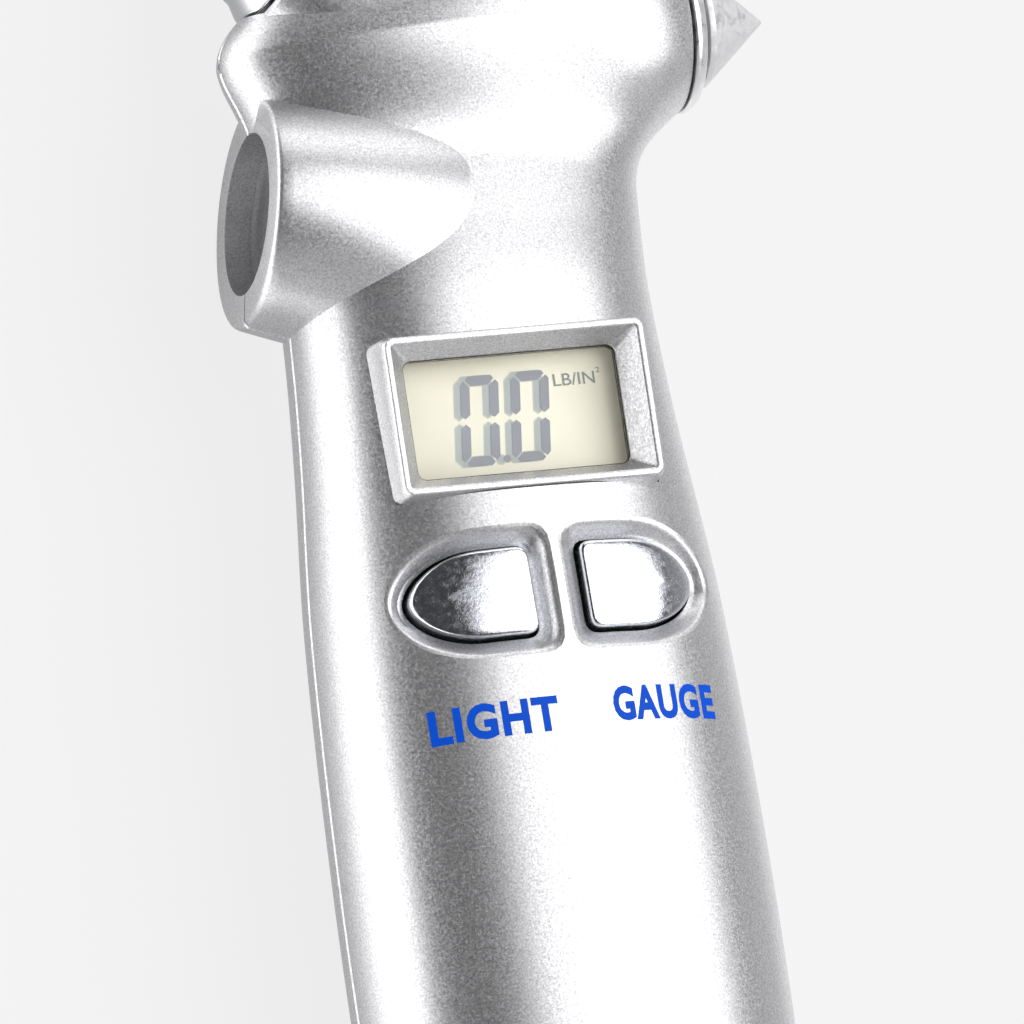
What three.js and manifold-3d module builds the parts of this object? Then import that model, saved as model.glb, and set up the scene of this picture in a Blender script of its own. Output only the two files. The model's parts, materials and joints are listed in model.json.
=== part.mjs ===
// Hand-held digital tyre pressure gauge with a torch and a hammer point, as an assembly of its loose pieces.
// Millimetres. +X is to the right of the display, +Y runs from the grip to the head, +Z comes out of the
// display side. The tool lies on its back: the rest face is at Z = 0, behind the middle of the display.
import * as THREE from 'three';
import Module from 'manifold-3d';
import { LoftGeometry } from 'three/addons/geometries/LoftGeometry.js';
import { mergeVertices } from 'three/addons/utils/BufferGeometryUtils.js';

const wasm = await Module();
wasm.setup();

// ---- driving dimensions -------------------------------------------------------------------------------
const partingHeight = 13;        // rest face to the plane where the two shells meet
const gripReach = 143;           // display centre to the foot of the grip
const gripHalfWidth = 20.3;      // widest place of the grip
const waistHalfWidth = 17.2;     // narrowest place, above the display
const gripFrontDepth = 15;       // parting plane to the front at the palm
const displayFrontDepth = 12.4;  // the same at the display
const neckDepth = 8.8;           // half thickness of the neck just under the head
const sectionPower = 2.25;       // 2 is an ellipse, more is boxier
const shellWall = 2.2;
const clearance = 0.3;           // gap between neighbouring pieces
const headAxisY = 36.6;          // the head is a barrel lying across the neck
const headRadius = 11;
const headCrown = 6.5;           // where along X the barrel is fattest
const headLeft = 20;             // rounded end
const headRight = 23.2;          // flat end under the hammer collar
const headEndRadius = 7.8;
const blendRadius = 5;           // softening where neck and head meet

const bezelWidth = 24.8;         // raised frame round the display
const bezelHeight = 14.7;
const bezelRim = 0.6;            // width of its top edge
const bezelRise = 0.6;           // rim above the shell in the middle
const windowWidth = 20.4;
const windowHeight = 11.2;
const windowDrop = 2.5;          // rim to the window's edge
const ledgeThickness = 0.6;

const buttonLength = 11.1;       // flat side to rounded tip
const buttonWidth = 8.2;
const buttonInner = 2.5;         // ridge between the keys to the flat side
const buttonMiddle = 0.7;        // that ridge stands a little right of the middle line
const buttonY = -17;
const buttonTravel = 1;
const buttonSink = 0.3;          // top below the shell's own surface
const wellMargin = 1.7;
const wellDepth = 1.3;

const torchFace = new THREE.Vector3(-19.4, 22.7, 0);
const torchTurn = 10;            // degrees the torch points towards the head
const torchFaceRadius = 10.6;
const torchDraft = 0.12;         // sideways growth of the housing per mm inwards
const torchCrown = 0.8;          // swell of its front-to-back radius
const torchPeak = 8;             // depth where that swell is greatest
const torchDip = 0.06;           // fall of the housing's own axis per mm inwards
const torchDepth = 21;
const torchNose = 2;             // length of its rounded inner end
const torchBore = 7.5;
const lensInset = 1.9;
const lensThickness = 1.3;

const nozzleTurn = 45;           // degrees the nozzle leans left of +Y
const nozzleBase = new THREE.Vector3(-11.6, 45.0, 0);
const nozzleBaseRadius = 6.9;
const nozzleLipRadius = 5.5;
const nozzleLength = 9;
const nozzleBore = 4.3;          // takes a tyre valve's thread
const nozzleStemRadius = 3.6;
const nutRadius = 4.6;

const hammerBaseRadius = 5.6;
const hammerPoint = 6.2;
const hammerShank = 3;
const collarLength = 2.3;

const batteryRadius = 5.25;      // two AAA cells
const batteryLength = 44.5;
const cellPitch = 11.2;
const springLength = 2.2;
const batteryHeadY = -51.5;      // end of the compartment nearest the display

const boardThickness = 1.6;
const boardTop = -1.0;           // heights of inner pieces count from the parting plane
const boardHalfWidth = 13;
const screwHeadRadius = 2.5;
const screwShank = 1.1;

// ---- derived sizes ------------------------------------------------------------------------------------
const bezelTop = displayFrontDepth + bezelRise;
const windowPlane = bezelTop - windowDrop;
const ledgeUnder = windowPlane - ledgeThickness;
const plateThickness = 0.9;
const plateTop = ledgeUnder - clearance;
const panelTop = plateTop - plateThickness - clearance;
const panelThickness = 2.2;
const panelUnder = panelTop - panelThickness;
const pocketWidth = windowWidth + 2.2;
const pocketHeight = windowHeight + 2.2;
const compartmentLength = batteryLength + springLength + 2.3;
const batteryFootY = batteryHeadY - compartmentLength;
const compartmentHalf = cellPitch / 2 + batteryRadius + 0.85;
const boardHead = 12.5;
const boardFoot = buttonY - buttonWidth / 2 - 5.5;
const restDepth = partingHeight + 0.4;
const collarStart = headRight + clearance;
const tipStart = collarStart + collarLength + 0.4;

// ---- looks, by finish ---------------------------------------------------------------------------------
function finish(color, roughness, metalness) {
  return new THREE.MeshStandardMaterial({ color, roughness, metalness });
}
const silverPaint = finish(0xc9c9cb, 0.35, 0.7);
const chrome = finish(0xe6e6ea, 0.08, 1);
const steel = finish(0xb9babd, 0.25, 1);
const clearPlastic = finish(0xf4f6f7, 0.05, 0);
const displayCream = finish(0xe6e0c4, 0.3, 0);
const whitePlastic = finish(0xe9e9e4, 0.5, 0);
const blackRubber = finish(0x1c1c1d, 0.8, 0);
const boardGreen = finish(0x1f6b3c, 0.5, 0);
const blackPlastic = finish(0x17171a, 0.45, 0);
const cellSleeve = finish(0x2f4e8c, 0.4, 0.1);
const nickel = finish(0xc7c3b8, 0.3, 1);
const leadRed = finish(0xb02020, 0.5, 0);
const brightReflector = finish(0xf2f2f4, 0.05, 1);
const sensorGrey = finish(0x8f9396, 0.5, 0.2);

// ---- solids -------------------------------------------------------------------------------------------
function solidOf(geometry) {
  const bare = new THREE.BufferGeometry();
  bare.setAttribute('position', geometry.attributes.position);
  bare.setIndex(geometry.index);
  const merged = mergeVertices(bare, 1e-4);
  const corners = merged.index.array;
  const kept = [];
  for (let i = 0; i < corners.length; i += 3) {
    const [a, b, c] = [corners[i], corners[i + 1], corners[i + 2]];
    if (a !== b && b !== c && c !== a) {
      kept.push(a, b, c);
    }
  }
  return new wasm.Manifold(new wasm.Mesh({
    numProp: 3,
    vertProperties: Float32Array.from(merged.attributes.position.array),
    triVerts: Uint32Array.from(kept),
  }));
}

function box(x0, x1, y0, y1, z0, z1) {
  const block = new THREE.BoxGeometry(x1 - x0, y1 - y0, z1 - z0);
  block.translate((x0 + x1) / 2, (y0 + y1) / 2, (z0 + z1) / 2);
  return solidOf(block);
}

// Turns a shape made about +Y from the origin so that it starts at a point and runs along a direction.
function aim(geometry, start, direction) {
  const turn = new THREE.Quaternion().setFromUnitVectors(new THREE.Vector3(0, 1, 0), direction);
  geometry.applyQuaternion(turn);
  geometry.translate(start.x, start.y, start.z);
  return geometry;
}

function rod(start, direction, radius, length, endRadius = radius, sides = 24) {
  const shape = new THREE.CylinderGeometry(endRadius, radius, length, sides);
  shape.translate(0, length / 2, 0);
  return solidOf(aim(shape, start, direction));
}

// profile holds [radius, distance along the axis] pairs, closing on itself or on the axis
function turned(profile, start, direction, sides = 28) {
  const points = profile.map(([radius, along]) => new THREE.Vector2(radius, along));
  if (THREE.ShapeUtils.isClockWise(points)) {
    points.reverse();
  }
  return solidOf(aim(new THREE.LatheGeometry(points, sides), start, direction));
}

function plate(outline, z0, z1) {
  const shape = new THREE.ExtrudeGeometry(outline, { depth: z1 - z0, bevelEnabled: false, curveSegments: 7 });
  shape.translate(0, 0, z0);
  return solidOf(shape);
}

function tube(points, radius, steps, sides = 8) {
  const section = new THREE.Shape();
  section.absarc(0, 0, radius, 0, 2 * Math.PI, false);
  const path = points.getPoint ? points : new THREE.CatmullRomCurve3(points);
  const options = { extrudePath: path, steps, bevelEnabled: false, curveSegments: sides / 2 };
  return solidOf(new THREE.ExtrudeGeometry(section, options));
}

const up = new THREE.Vector3(0, 0, 1);
const down = new THREE.Vector3(0, 0, -1);
const right = new THREE.Vector3(1, 0, 0);
const footward = new THREE.Vector3(0, -1, 0);
const headward = new THREE.Vector3(0, 1, 0);

function at(x, y, z) {
  return new THREE.Vector3(x, y, z);
}

// ---- the outer form -----------------------------------------------------------------------------------
// Stations along the tool: place, half width, front depth, rear depth.
const stations = [
  [-gripReach, gripHalfWidth - 1.6, gripFrontDepth - 2, restDepth],
  [-60, gripHalfWidth, gripFrontDepth, restDepth],
  [-40, gripHalfWidth - 0.05, gripFrontDepth - 0.1, restDepth],
  [-17, gripHalfWidth - 0.9, (gripFrontDepth + displayFrontDepth) / 2 + 0.2, restDepth],
  [0, (gripHalfWidth + 2.6 * waistHalfWidth) / 3.6 - 0.2, displayFrontDepth, restDepth],
  [12, waistHalfWidth, displayFrontDepth - 0.9, restDepth - 0.6],
  [19, waistHalfWidth + 0.3, displayFrontDepth - 2.2, restDepth - 1.3],
  [23, waistHalfWidth + 0.6, displayFrontDepth - 3, displayFrontDepth - 1.2],
  [28, waistHalfWidth + 0.9, neckDepth - 0.4, neckDepth - 0.4],
  [headAxisY, waistHalfWidth + 0.6, neckDepth - 1, neckDepth - 1],
];
const footRound = 14;
const footPower = 2.4;
const eggPower = 1.85;

function between(column, y) {
  const last = stations.length - 1;
  let i = 0;
  while (i < last - 1 && y > stations[i + 1][0]) {
    i += 1;
  }
  const slope = (k) => {
    if (k === 0 || k === last) {
      return 0;
    }
    const [before, after] = [stations[k - 1], stations[k + 1]];
    return (after[column] - before[column]) / (after[0] - before[0]);
  };
  const span = stations[i + 1][0] - stations[i][0];
  const t = THREE.MathUtils.clamp((y - stations[i][0]) / span, 0, 1);
  const [low, high] = [stations[i][column], stations[i + 1][column]];
  const bend = (t ** 3 - 2 * t ** 2 + t) * slope(i) + (t ** 3 - t ** 2) * slope(i + 1);
  return low + (high - low) * t * t * (3 - 2 * t) + bend * span;
}

function footShrink(y) {
  const into = (footRound - gripReach - y) / footRound;
  return into <= 0 ? 1 : Math.max(1 - into ** footPower, 1e-6) ** (1 / footPower);
}

function gripField(x, y, z) {
  const shrink = footShrink(y);
  const width = between(1, y) * shrink;
  const depth = between(z > 0 ? 2 : 3, y) * shrink;
  const reach = Math.hypot(x, z);
  const share = ((Math.abs(x) / width) ** sectionPower + (Math.abs(z) / depth) ** sectionPower);
  const radial = reach < 1e-6 ? -depth : reach - reach / share ** (1 / sectionPower);
  return radial + Math.max(y - headAxisY, 0);
}

// The head is an egg on its left, and on its right it rounds down to its flat end.
function headSectionRadius(x) {
  if (x < -headLeft) {
    return x + headLeft;
  }
  if (x < headCrown) {
    const share = (headCrown - x) / (headCrown + headLeft);
    return headRadius * (1 - share ** eggPower) ** (1 / eggPower);
  }
  return headRadius - (headRadius - headEndRadius) * ((x - headCrown) / (headRight - headCrown)) ** 4;
}

function bodyField(x, y, z) {
  const grip = gripField(x, y, z);
  const head = Math.hypot(y - headAxisY, z) - headSectionRadius(x);
  const near = Math.max(blendRadius - Math.abs(grip - head), 0) / blendRadius;
  return Math.min(grip, head) - near * near * blendRadius / 4;
}

// Distance from (centre, y, 0) along (dx, dz) to the form pushed inwards by inset.
function surfaceReach(centre, y, dx, dz, inset) {
  const field = (t) => bodyField(centre + dx * t, y, dz * t) + inset;
  const stride = 0.4 / Math.hypot(dx, dz);
  let far = stride;
  while (field(far) < 0) {
    far += stride;
  }
  let near = far - stride;
  for (let i = 0; i < 30; i += 1) {
    const middle = (near + far) / 2;
    if (field(middle) < 0) {
      near = middle;
    } else {
      far = middle;
    }
  }
  return near;
}

function ringStations(inset, fineness) {
  const foot = inset - gripReach;
  const crown = headAxisY + headRadius - inset;
  const ys = [];
  const footSteps = Math.round(6 * fineness);
  for (let i = 0; i < footSteps; i += 1) {
    ys.push(foot + footRound * (1 - Math.cos((i + 0.35) / footSteps * Math.PI / 2)));
  }
  const gripEnd = -30;
  const gripSteps = Math.round(7 * fineness);
  for (let i = 0; i < gripSteps; i += 1) {
    ys.push(THREE.MathUtils.lerp(foot + footRound, gripEnd, i / gripSteps));
  }
  const neckEnd = 21;
  const neckSteps = Math.round(8 * fineness);
  for (let i = 0; i < neckSteps; i += 1) {
    ys.push(THREE.MathUtils.lerp(gripEnd, neckEnd, i / neckSteps));
  }
  const headSteps = Math.round(14 * fineness);
  for (let i = 0; i < headSteps; i += 1) {
    ys.push(neckEnd + (crown - neckEnd) * Math.sin((i + 0.1) / headSteps * Math.PI / 2));
  }
  ys.push(crown - 0.08);
  return ys;
}

function bodySolid(inset, sides, fineness) {
  const sections = ringStations(inset, fineness).map((y) => {
    const farRight = surfaceReach(0, y, 1, 0, inset);
    const farLeft = surfaceReach(0, y, -1, 0, inset);
    const centre = (farRight - farLeft) / 2;
    const half = (farRight + farLeft) / 2;
    const depths = [surfaceReach(centre, y, 0, 1, inset), surfaceReach(centre, y, 0, -1, inset)];
    const ring = [];
    for (let i = 0; i < sides; i += 1) {
      const angle = -i / sides * 2 * Math.PI;
      const dx = half * Math.cos(angle);
      const dz = depths[Math.sin(angle) >= 0 ? 0 : 1] * Math.sin(angle);
      const t = surfaceReach(centre, y, dx, dz, inset);
      ring.push(at(centre + dx * t, y, Math.max(dz * t, -partingHeight + inset)));
    }
    return ring;
  });
  return solidOf(new LoftGeometry(sections, { capStart: true, capEnd: true }));
}

// ---- torch and nozzle directions ----------------------------------------------------------------------
const torchAngle = THREE.MathUtils.degToRad(torchTurn);
const torchIn = at(Math.cos(torchAngle), -Math.sin(torchAngle), 0);
const torchSide = at(Math.sin(torchAngle), Math.cos(torchAngle), 0);
const nozzleAngle = THREE.MathUtils.degToRad(nozzleTurn);
const nozzleOut = at(-Math.sin(nozzleAngle), Math.cos(nozzleAngle), 0);

function inTorch(depth) {
  return torchFace.clone().addScaledVector(torchIn, depth);
}

function onNozzle(depth) {
  return nozzleBase.clone().addScaledVector(nozzleOut, depth);
}

function torchHousing() {
  const sections = [];
  const sides = 40;
  const noseStart = torchDepth - torchNose;
  const depths = [0, 3, 6, 9, 12, 15, 17, noseStart];
  for (const share of [0.45, 0.75, 0.92, 0.99]) {
    depths.push(noseStart + torchNose * share);
  }
  for (const s of depths) {
    const centre = inTorch(s).addScaledVector(torchSide, -torchDip * s);
    const nose = Math.sqrt(1 - (Math.max(s - noseStart, 0) / torchNose) ** 2);
    const sideRadius = (torchFaceRadius + torchDraft * s) * nose;
    const depthRadius = (torchFaceRadius + torchCrown * (1 - (1 - s / torchPeak) ** 2)) * nose;
    const ring = [];
    for (let k = 0; k < sides; k += 1) {
      const angle = -k / sides * 2 * Math.PI;
      const point = centre.clone().addScaledVector(torchSide, sideRadius * Math.cos(angle));
      ring.push(point.addScaledVector(up, -depthRadius * Math.sin(angle)));
    }
    sections.push(ring);
  }
  return solidOf(new LoftGeometry(sections, { capStart: true, capEnd: true }));
}

// ---- outlines on the front ----------------------------------------------------------------------------
// A button's outline: flat towards the middle, pointed like a boat's bow on its outer side.
function buttonOutline(side, margin) {
  const inner = buttonInner - margin;
  const outer = buttonInner + buttonLength + margin;
  const half = buttonWidth / 2 + margin;
  const shoulder = inner + (outer - inner) * 0.42;
  const corner = 1.1;
  const place = (x, y) => [buttonMiddle + side * x, buttonY + y];
  const outline = new THREE.Shape();
  outline.moveTo(...place(inner, corner - half));
  outline.lineTo(...place(inner, half - corner));
  outline.quadraticCurveTo(...place(inner, half), ...place(inner + corner, half));
  outline.lineTo(...place(shoulder, half));
  outline.bezierCurveTo(...place(outer - 2.6, half), ...place(outer, half * 0.42), ...place(outer, 0));
  outline.bezierCurveTo(...place(outer, -half * 0.42), ...place(outer - 2.6, -half), ...place(shoulder, -half));
  outline.lineTo(...place(inner + corner, -half));
  outline.quadraticCurveTo(...place(inner, -half), ...place(inner, corner - half));
  return outline;
}

function frustum(width, height, z0, growth, z1) {
  const low = [width / 2, height / 2];
  const high = [width / 2 + growth, height / 2 + growth];
  const ring = ([hx, hy], z) => [at(-hx, -hy, z), at(-hx, hy, z), at(hx, hy, z), at(hx, -hy, z)].reverse();
  return solidOf(new LoftGeometry([ring(low, z0), ring(high, z1)], { capStart: true, capEnd: true }));
}

// ---- screws: places and bosses ------------------------------------------------------------------------
const screwPlaces = [
  [5.5, headAxisY + 4.2],
  [waistHalfWidth - 5.2, 20],
  [6.2 - gripHalfWidth, -40],
  [gripHalfWidth - 6.2, -40],
  [0, (batteryFootY - gripReach) / 2 + 2],
];
const screwSeat = -5.2;
const bossRadius = 3.5;
const screwHole = screwShank + 0.25;

// ---- shells -------------------------------------------------------------------------------------------
const outerSides = 36;
const innerSides = 24;
const innerFineness = 0.62;
const outerForm = bodySolid(0, outerSides, 0.9).subtract(box(headRight, headRight + 20, 0, 60, -30, 30));
const innerForm = bodySolid(shellWall, innerSides, innerFineness)
  .subtract(box(headRight - shellWall, headRight + 20, 0, 60, -30, 30));
const seamHalf = 0.1;            // half of the gap between the two shells
const frontSide = box(-60, 60, -200, 200, seamHalf, 40);
const rearSide = box(-60, 60, -200, 200, -40, -seamHalf);
const torchHole = rod(inTorch(-2), torchIn, torchBore, 18.5, torchBore, 32);
const shankHole = rod(at(headRight - 12, headAxisY, 0), right, hammerShank + clearance, 14);
const nozzleHole = rod(onNozzle(-12), nozzleOut, nozzleStemRadius + clearance, 22);
const nozzleSeat = rod(onNozzle(0), nozzleOut, nozzleBaseRadius + clearance, 12);
const nozzleBoss = rod(onNozzle(-10), nozzleOut, 9, 10, nozzleBaseRadius + 0.7, 32);
const nutRoom = rod(onNozzle(-12), nozzleOut, nutRadius + 0.3, 7.2);
const closedForm = outerForm.add(torchHousing()).add(nozzleBoss);
const hollow = innerForm.add(torchHole).add(shankHole).add(nozzleHole).add(nozzleSeat).add(nutRoom);

function sunkBody(sink) {
  return bodySolid(sink, outerSides, 0.9);
}

function frontShell() {
  let shell = closedForm.subtract(hollow).intersect(frontSide);
  const block = frustum(bezelWidth + 2.6, bezelHeight + 2.6, panelTop - 0.6, -1.3, bezelTop);
  shell = shell.add(block);
  const pillarRadius = bossRadius - 0.4;
  for (const [x, y] of screwPlaces) {
    const boss = rod(at(x, y, clearance), up, pillarRadius, 20, pillarRadius, 16);
    shell = shell.add(boss.intersect(outerForm.subtract(nozzleHole).subtract(shankHole)));
    shell = shell.subtract(rod(at(x, y, -1), up, screwHole, 6.5, screwHole, 12));
  }
  const recessGrowth = (bezelWidth / 2 - bezelRim) - windowWidth / 2;
  const rise = bezelTop - windowPlane;
  shell = shell.subtract(frustum(windowWidth, windowHeight, windowPlane, recessGrowth * 1.2, windowPlane + rise * 1.2));
  shell = shell.subtract(frustum(windowWidth, windowHeight, ledgeUnder - 1, 0, bezelTop));
  shell = shell.subtract(frustum(pocketWidth, pocketHeight, 0, 0, ledgeUnder));
  const sunkForm = sunkBody(wellDepth);
  for (const side of [-1, 1]) {
    const well = plate(buttonOutline(side, wellMargin), 4, 24).subtract(sunkForm);
    shell = shell.subtract(well);
    shell = shell.subtract(plate(buttonOutline(side, clearance), 0, 24));
  }
  return shell;
}

const doorHalf = compartmentHalf - clearance;
const doorHead = batteryHeadY - clearance;
const doorFoot = batteryFootY + clearance;
const cellFloor = -partingHeight + shellWall + 0.7;
const ceilingZ = cellFloor + 2 * batteryRadius + 0.5;
const tabPlaces = [-2.2, 2.2];   // between the cells, so that the tabs swing clear of them
const tabHalfWidth = 1.4;
const tabFloor = -partingHeight + shellWall + clearance + 0.1;
const tabThickness = 0.8;
const tabRoot = 0.3;             // how far a tab laps onto the door
const tabReach = 1.6;            // how far it hooks under the compartment's end wall
const latchHalfWidth = 4;        // finger notch at the door's free end
const roomWall = 1.4;            // walls round the battery compartment

function rearShell() {
  let shell = closedForm.subtract(hollow).intersect(rearSide);
  const room = box(-compartmentHalf - roomWall, compartmentHalf + roomWall, batteryFootY - roomWall,
    batteryHeadY + roomWall, -partingHeight + 0.5, ceilingZ + roomWall);
  shell = shell.add(room.intersect(innerForm.add(closedForm.intersect(rearSide))));
  shell = shell.subtract(box(-compartmentHalf, compartmentHalf, batteryFootY, batteryHeadY, -40, ceilingZ));
  for (const [x, y] of screwPlaces) {
    const boss = rod(at(x, y, -20), up, bossRadius, 20 - clearance, bossRadius, 16);
    shell = shell.add(boss.intersect(outerForm.subtract(nozzleHole).subtract(shankHole)));
    shell = shell.subtract(rod(at(x, y, -20), up, screwHeadRadius + clearance, 20 + screwSeat,
      screwHeadRadius + clearance, 16));
    shell = shell.subtract(rod(at(x, y, -20), up, screwHole, 21, screwHole, 12));
  }
  const postX = boardHalfWidth - 2;
  const postTop = boardTop - boardThickness - clearance;
  for (const y of [boardHead - 2, boardFoot + 3]) {
    for (const x of [-postX, postX]) {
      const post = rod(at(x, y, postTop), down, 1.6, partingHeight, 1.6, 10);
      shell = shell.add(post.intersect(outerForm));
    }
  }
  for (const x of tabPlaces) {
    const slotHalf = tabHalfWidth + clearance;
    shell = shell.subtract(box(x - slotHalf, x + slotHalf, batteryFootY - roomWall - 0.1, batteryFootY + 0.1,
      tabFloor - 0.5, tabFloor + tabThickness + 1.2));
  }
  return shell;
}

function batteryDoor() {
  const skin = sunkBody(0.15).subtract(bodySolid(shellWall + 0.1, innerSides, innerFineness));
  const cut = box(-doorHalf, doorHalf, doorFoot, doorHead, -20, -6);
  let door = skin.intersect(cut);
  for (const x of tabPlaces) {
    const [x0, x1] = [x - tabHalfWidth, x + tabHalfWidth];
    door = door.add(box(x0, x1, doorFoot - tabReach, doorFoot + tabRoot, tabFloor, tabFloor + tabThickness));
    door = door.add(box(x0, x1, doorFoot, doorFoot + tabRoot, tabFloor - 1.2, tabFloor + 0.5));
  }
  return door.subtract(box(-latchHalfWidth, latchHalfWidth, doorHead - 1.2, doorHead + 1, -20, -partingHeight + 1.1));
}

// ---- assembly -----------------------------------------------------------------------------------------
const gauge = new THREE.Group();
const onParting = new THREE.Group();
onParting.position.z = partingHeight;
gauge.add(onParting);

function piece(name, solid, material) {
  const shape = solid.getMesh();
  const geometry = new THREE.BufferGeometry();
  geometry.setAttribute('position', new THREE.BufferAttribute(Float32Array.from(shape.vertProperties), 3));
  geometry.setIndex(new THREE.BufferAttribute(Uint32Array.from(shape.triVerts), 1));
  const mesh = new THREE.Mesh(geometry, material);
  mesh.name = name;
  onParting.add(mesh);
}

piece('front_shell', frontShell(), silverPaint);
piece('rear_shell', rearShell(), silverPaint);
piece('battery_door', batteryDoor(), silverPaint);

// display stack, from the front
const plateWidth = pocketWidth - 2 * clearance;
const plateHeight = pocketHeight - 2 * clearance;
function slab(width, height, z0, z1, y = 0) {
  return box(-width / 2, width / 2, y - height / 2, y + height / 2, z0, z1);
}
piece('display_window', slab(plateWidth, plateHeight, plateTop - plateThickness, plateTop), clearPlastic);
piece('display_panel', slab(plateWidth, plateHeight, panelUnder, panelTop), displayCream);
const holderTop = panelUnder - clearance;
const holderLip = 0.8;
const roomWidth = plateWidth - 2 * holderLip;
const roomHeight = plateHeight - 2 * holderLip;
const holderMargin = 1.4;        // holder wider than the plates above it
const holder = slab(plateWidth + holderMargin, plateHeight + holderMargin, boardTop + clearance, holderTop);
piece('display_holder', holder.subtract(slab(roomWidth, roomHeight, boardTop, holderTop + 1)), whitePlastic);
const stripWidth = 2;
const stripOffset = roomHeight / 2 - stripWidth / 2 - clearance;
for (const [name, y] of [['display_connector_upper', stripOffset], ['display_connector_lower', -stripOffset]]) {
  const strip = slab(roomWidth - 2 * clearance, stripWidth, boardTop + clearance, panelUnder - clearance, y);
  piece(name, strip, blackRubber);
}

// circuit board and what sits on it
const board = box(-boardHalfWidth, boardHalfWidth, boardFoot, boardHead, boardTop - boardThickness, boardTop);
piece('circuit_board', board, boardGreen);
const chipTop = boardTop - boardThickness - clearance;
piece('controller_chip', box(-4, 4, -8, 0, chipTop - 1.6, chipTop), blackPlastic);

// buttons, and the switch under each
const buttonTop = sunkBody(buttonSink);
const switchHalf = 3;
const switchHeight = 3.3;
const switchTop = boardTop + clearance + switchHeight;
const switchBore = 2;
const switchBoreDepth = 2.2;
const plungerRadius = 1.7;
const plungerTop = switchTop + 0.9;
const plungerFloor = switchTop - switchBoreDepth + buttonTravel + clearance;
const stemFloor = plungerTop + clearance;
const flangeThickness = 1.2;
const flangeRoom = bodySolid(shellWall + 0.6, innerSides, innerFineness);
for (const [word, side] of [['light', -1], ['gauge', 1]]) {
  const middle = buttonMiddle + side * (buttonInner + buttonLength * 0.42);
  let button = plate(buttonOutline(side, 0), stemFloor, 24).intersect(buttonTop);
  const flange = plate(buttonOutline(side, 1), stemFloor, stemFloor + flangeThickness).intersect(flangeRoom);
  button = button.add(flange);
  piece(`${word}_button`, button, chrome);
  const body = box(middle - switchHalf, middle + switchHalf, buttonY - switchHalf, buttonY + switchHalf,
    boardTop + clearance, switchTop);
  const bore = rod(at(middle, buttonY, switchTop - switchBoreDepth), up, switchBore, 4, switchBore, 16);
  piece(`${word}_switch_body`, body.subtract(bore), blackPlastic);
  const plunger = rod(at(middle, buttonY, plungerFloor), up, plungerRadius, plungerTop - plungerFloor,
    plungerRadius, 14);
  piece(`${word}_switch_plunger`, plunger, whitePlastic);
}

// air path: nozzle, seal, pin, nut, tube, sensor
const stemDepth = 9;
const mouthDepth = 5.2;
const seatStart = clearance;
const airBore = 0.9;             // radius of the air passage
const barbRadius = 2.4;          // end that the tube pushes onto
const nozzleProfile = [
  [airBore, -stemDepth], [barbRadius, -stemDepth], [barbRadius, -stemDepth + 2.6],
  [nozzleStemRadius, -stemDepth + 3.2], [nozzleStemRadius, seatStart], [nozzleBaseRadius, seatStart],
  [nozzleBaseRadius, seatStart + 0.9], [nozzleLipRadius, 5], [nozzleLipRadius, nozzleLength - 0.5],
  [nozzleLipRadius - 0.5, nozzleLength], [nozzleBore, nozzleLength], [nozzleBore, nozzleLength - mouthDepth],
  [airBore, nozzleLength - mouthDepth], [airBore, -stemDepth],
];
piece('nozzle_body', turned(nozzleProfile, nozzleBase, nozzleOut), chrome);
const sealStart = nozzleLength - mouthDepth + clearance;
const sealRadius = nozzleBore - 0.2;
const sealBore = 1.9;
const sealHeight = 2.2;
const sealProfile = [
  [sealBore, sealStart], [sealRadius, sealStart], [sealRadius, sealStart + sealHeight],
  [sealBore + 0.7, sealStart + sealHeight], [sealBore, sealStart + sealHeight - 0.6], [sealBore, sealStart],
];
piece('nozzle_seal', turned(sealProfile, nozzleBase, nozzleOut, 24), blackRubber);
const pinFoot = 1.55;
const pinRadius = 0.7;
const pinProfile = [
  [0, sealStart], [pinFoot, sealStart], [pinFoot, sealStart + 0.7], [pinRadius, sealStart + 0.7],
  [pinRadius, sealStart + 2.9], [0, sealStart + 3.1],
];
piece('valve_pin', turned(pinProfile, nozzleBase, nozzleOut, 16), steel);
const nutStart = -shellWall - nutRadius;
const nozzleNut = rod(onNozzle(nutStart), nozzleOut, nutRadius, 1.8, nutRadius, 6);
piece('nozzle_nut', nozzleNut.subtract(rod(onNozzle(nutStart - 1), nozzleOut, nozzleStemRadius + 0.15, 4)), steel);

const sensorX = 5;
const sensorHalf = 3.5;
const sensorDepth = 4.4;
const sensorHead = boardHead - 1;
const portZ = chipTop - sensorDepth / 2;
const portLength = 2.4;
const sensorBody = box(sensorX - sensorHalf, sensorX + sensorHalf, sensorHead - 2 * sensorHalf, sensorHead,
  chipTop - sensorDepth, chipTop);
const sensorPort = rod(at(sensorX, sensorHead - 1, portZ), headward, 1, portLength + 1, 1, 12);
piece('pressure_sensor', sensorBody.add(sensorPort), sensorGrey);
const tubeRadius = 1.3;
const tubeStart = onNozzle(-stemDepth - clearance);
const tubeMiddle = onNozzle(-stemDepth - 2.6);
const airTube = tube([
  tubeStart, tubeMiddle, at(2.2, 33.5, -1.2), at(4.8, 28, -2.6), at(sensorX, 21, portZ + 0.3),
  at(sensorX, sensorHead + portLength + clearance, portZ),
], tubeRadius, 18);
piece('air_tube', airTube, clearPlastic);

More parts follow.
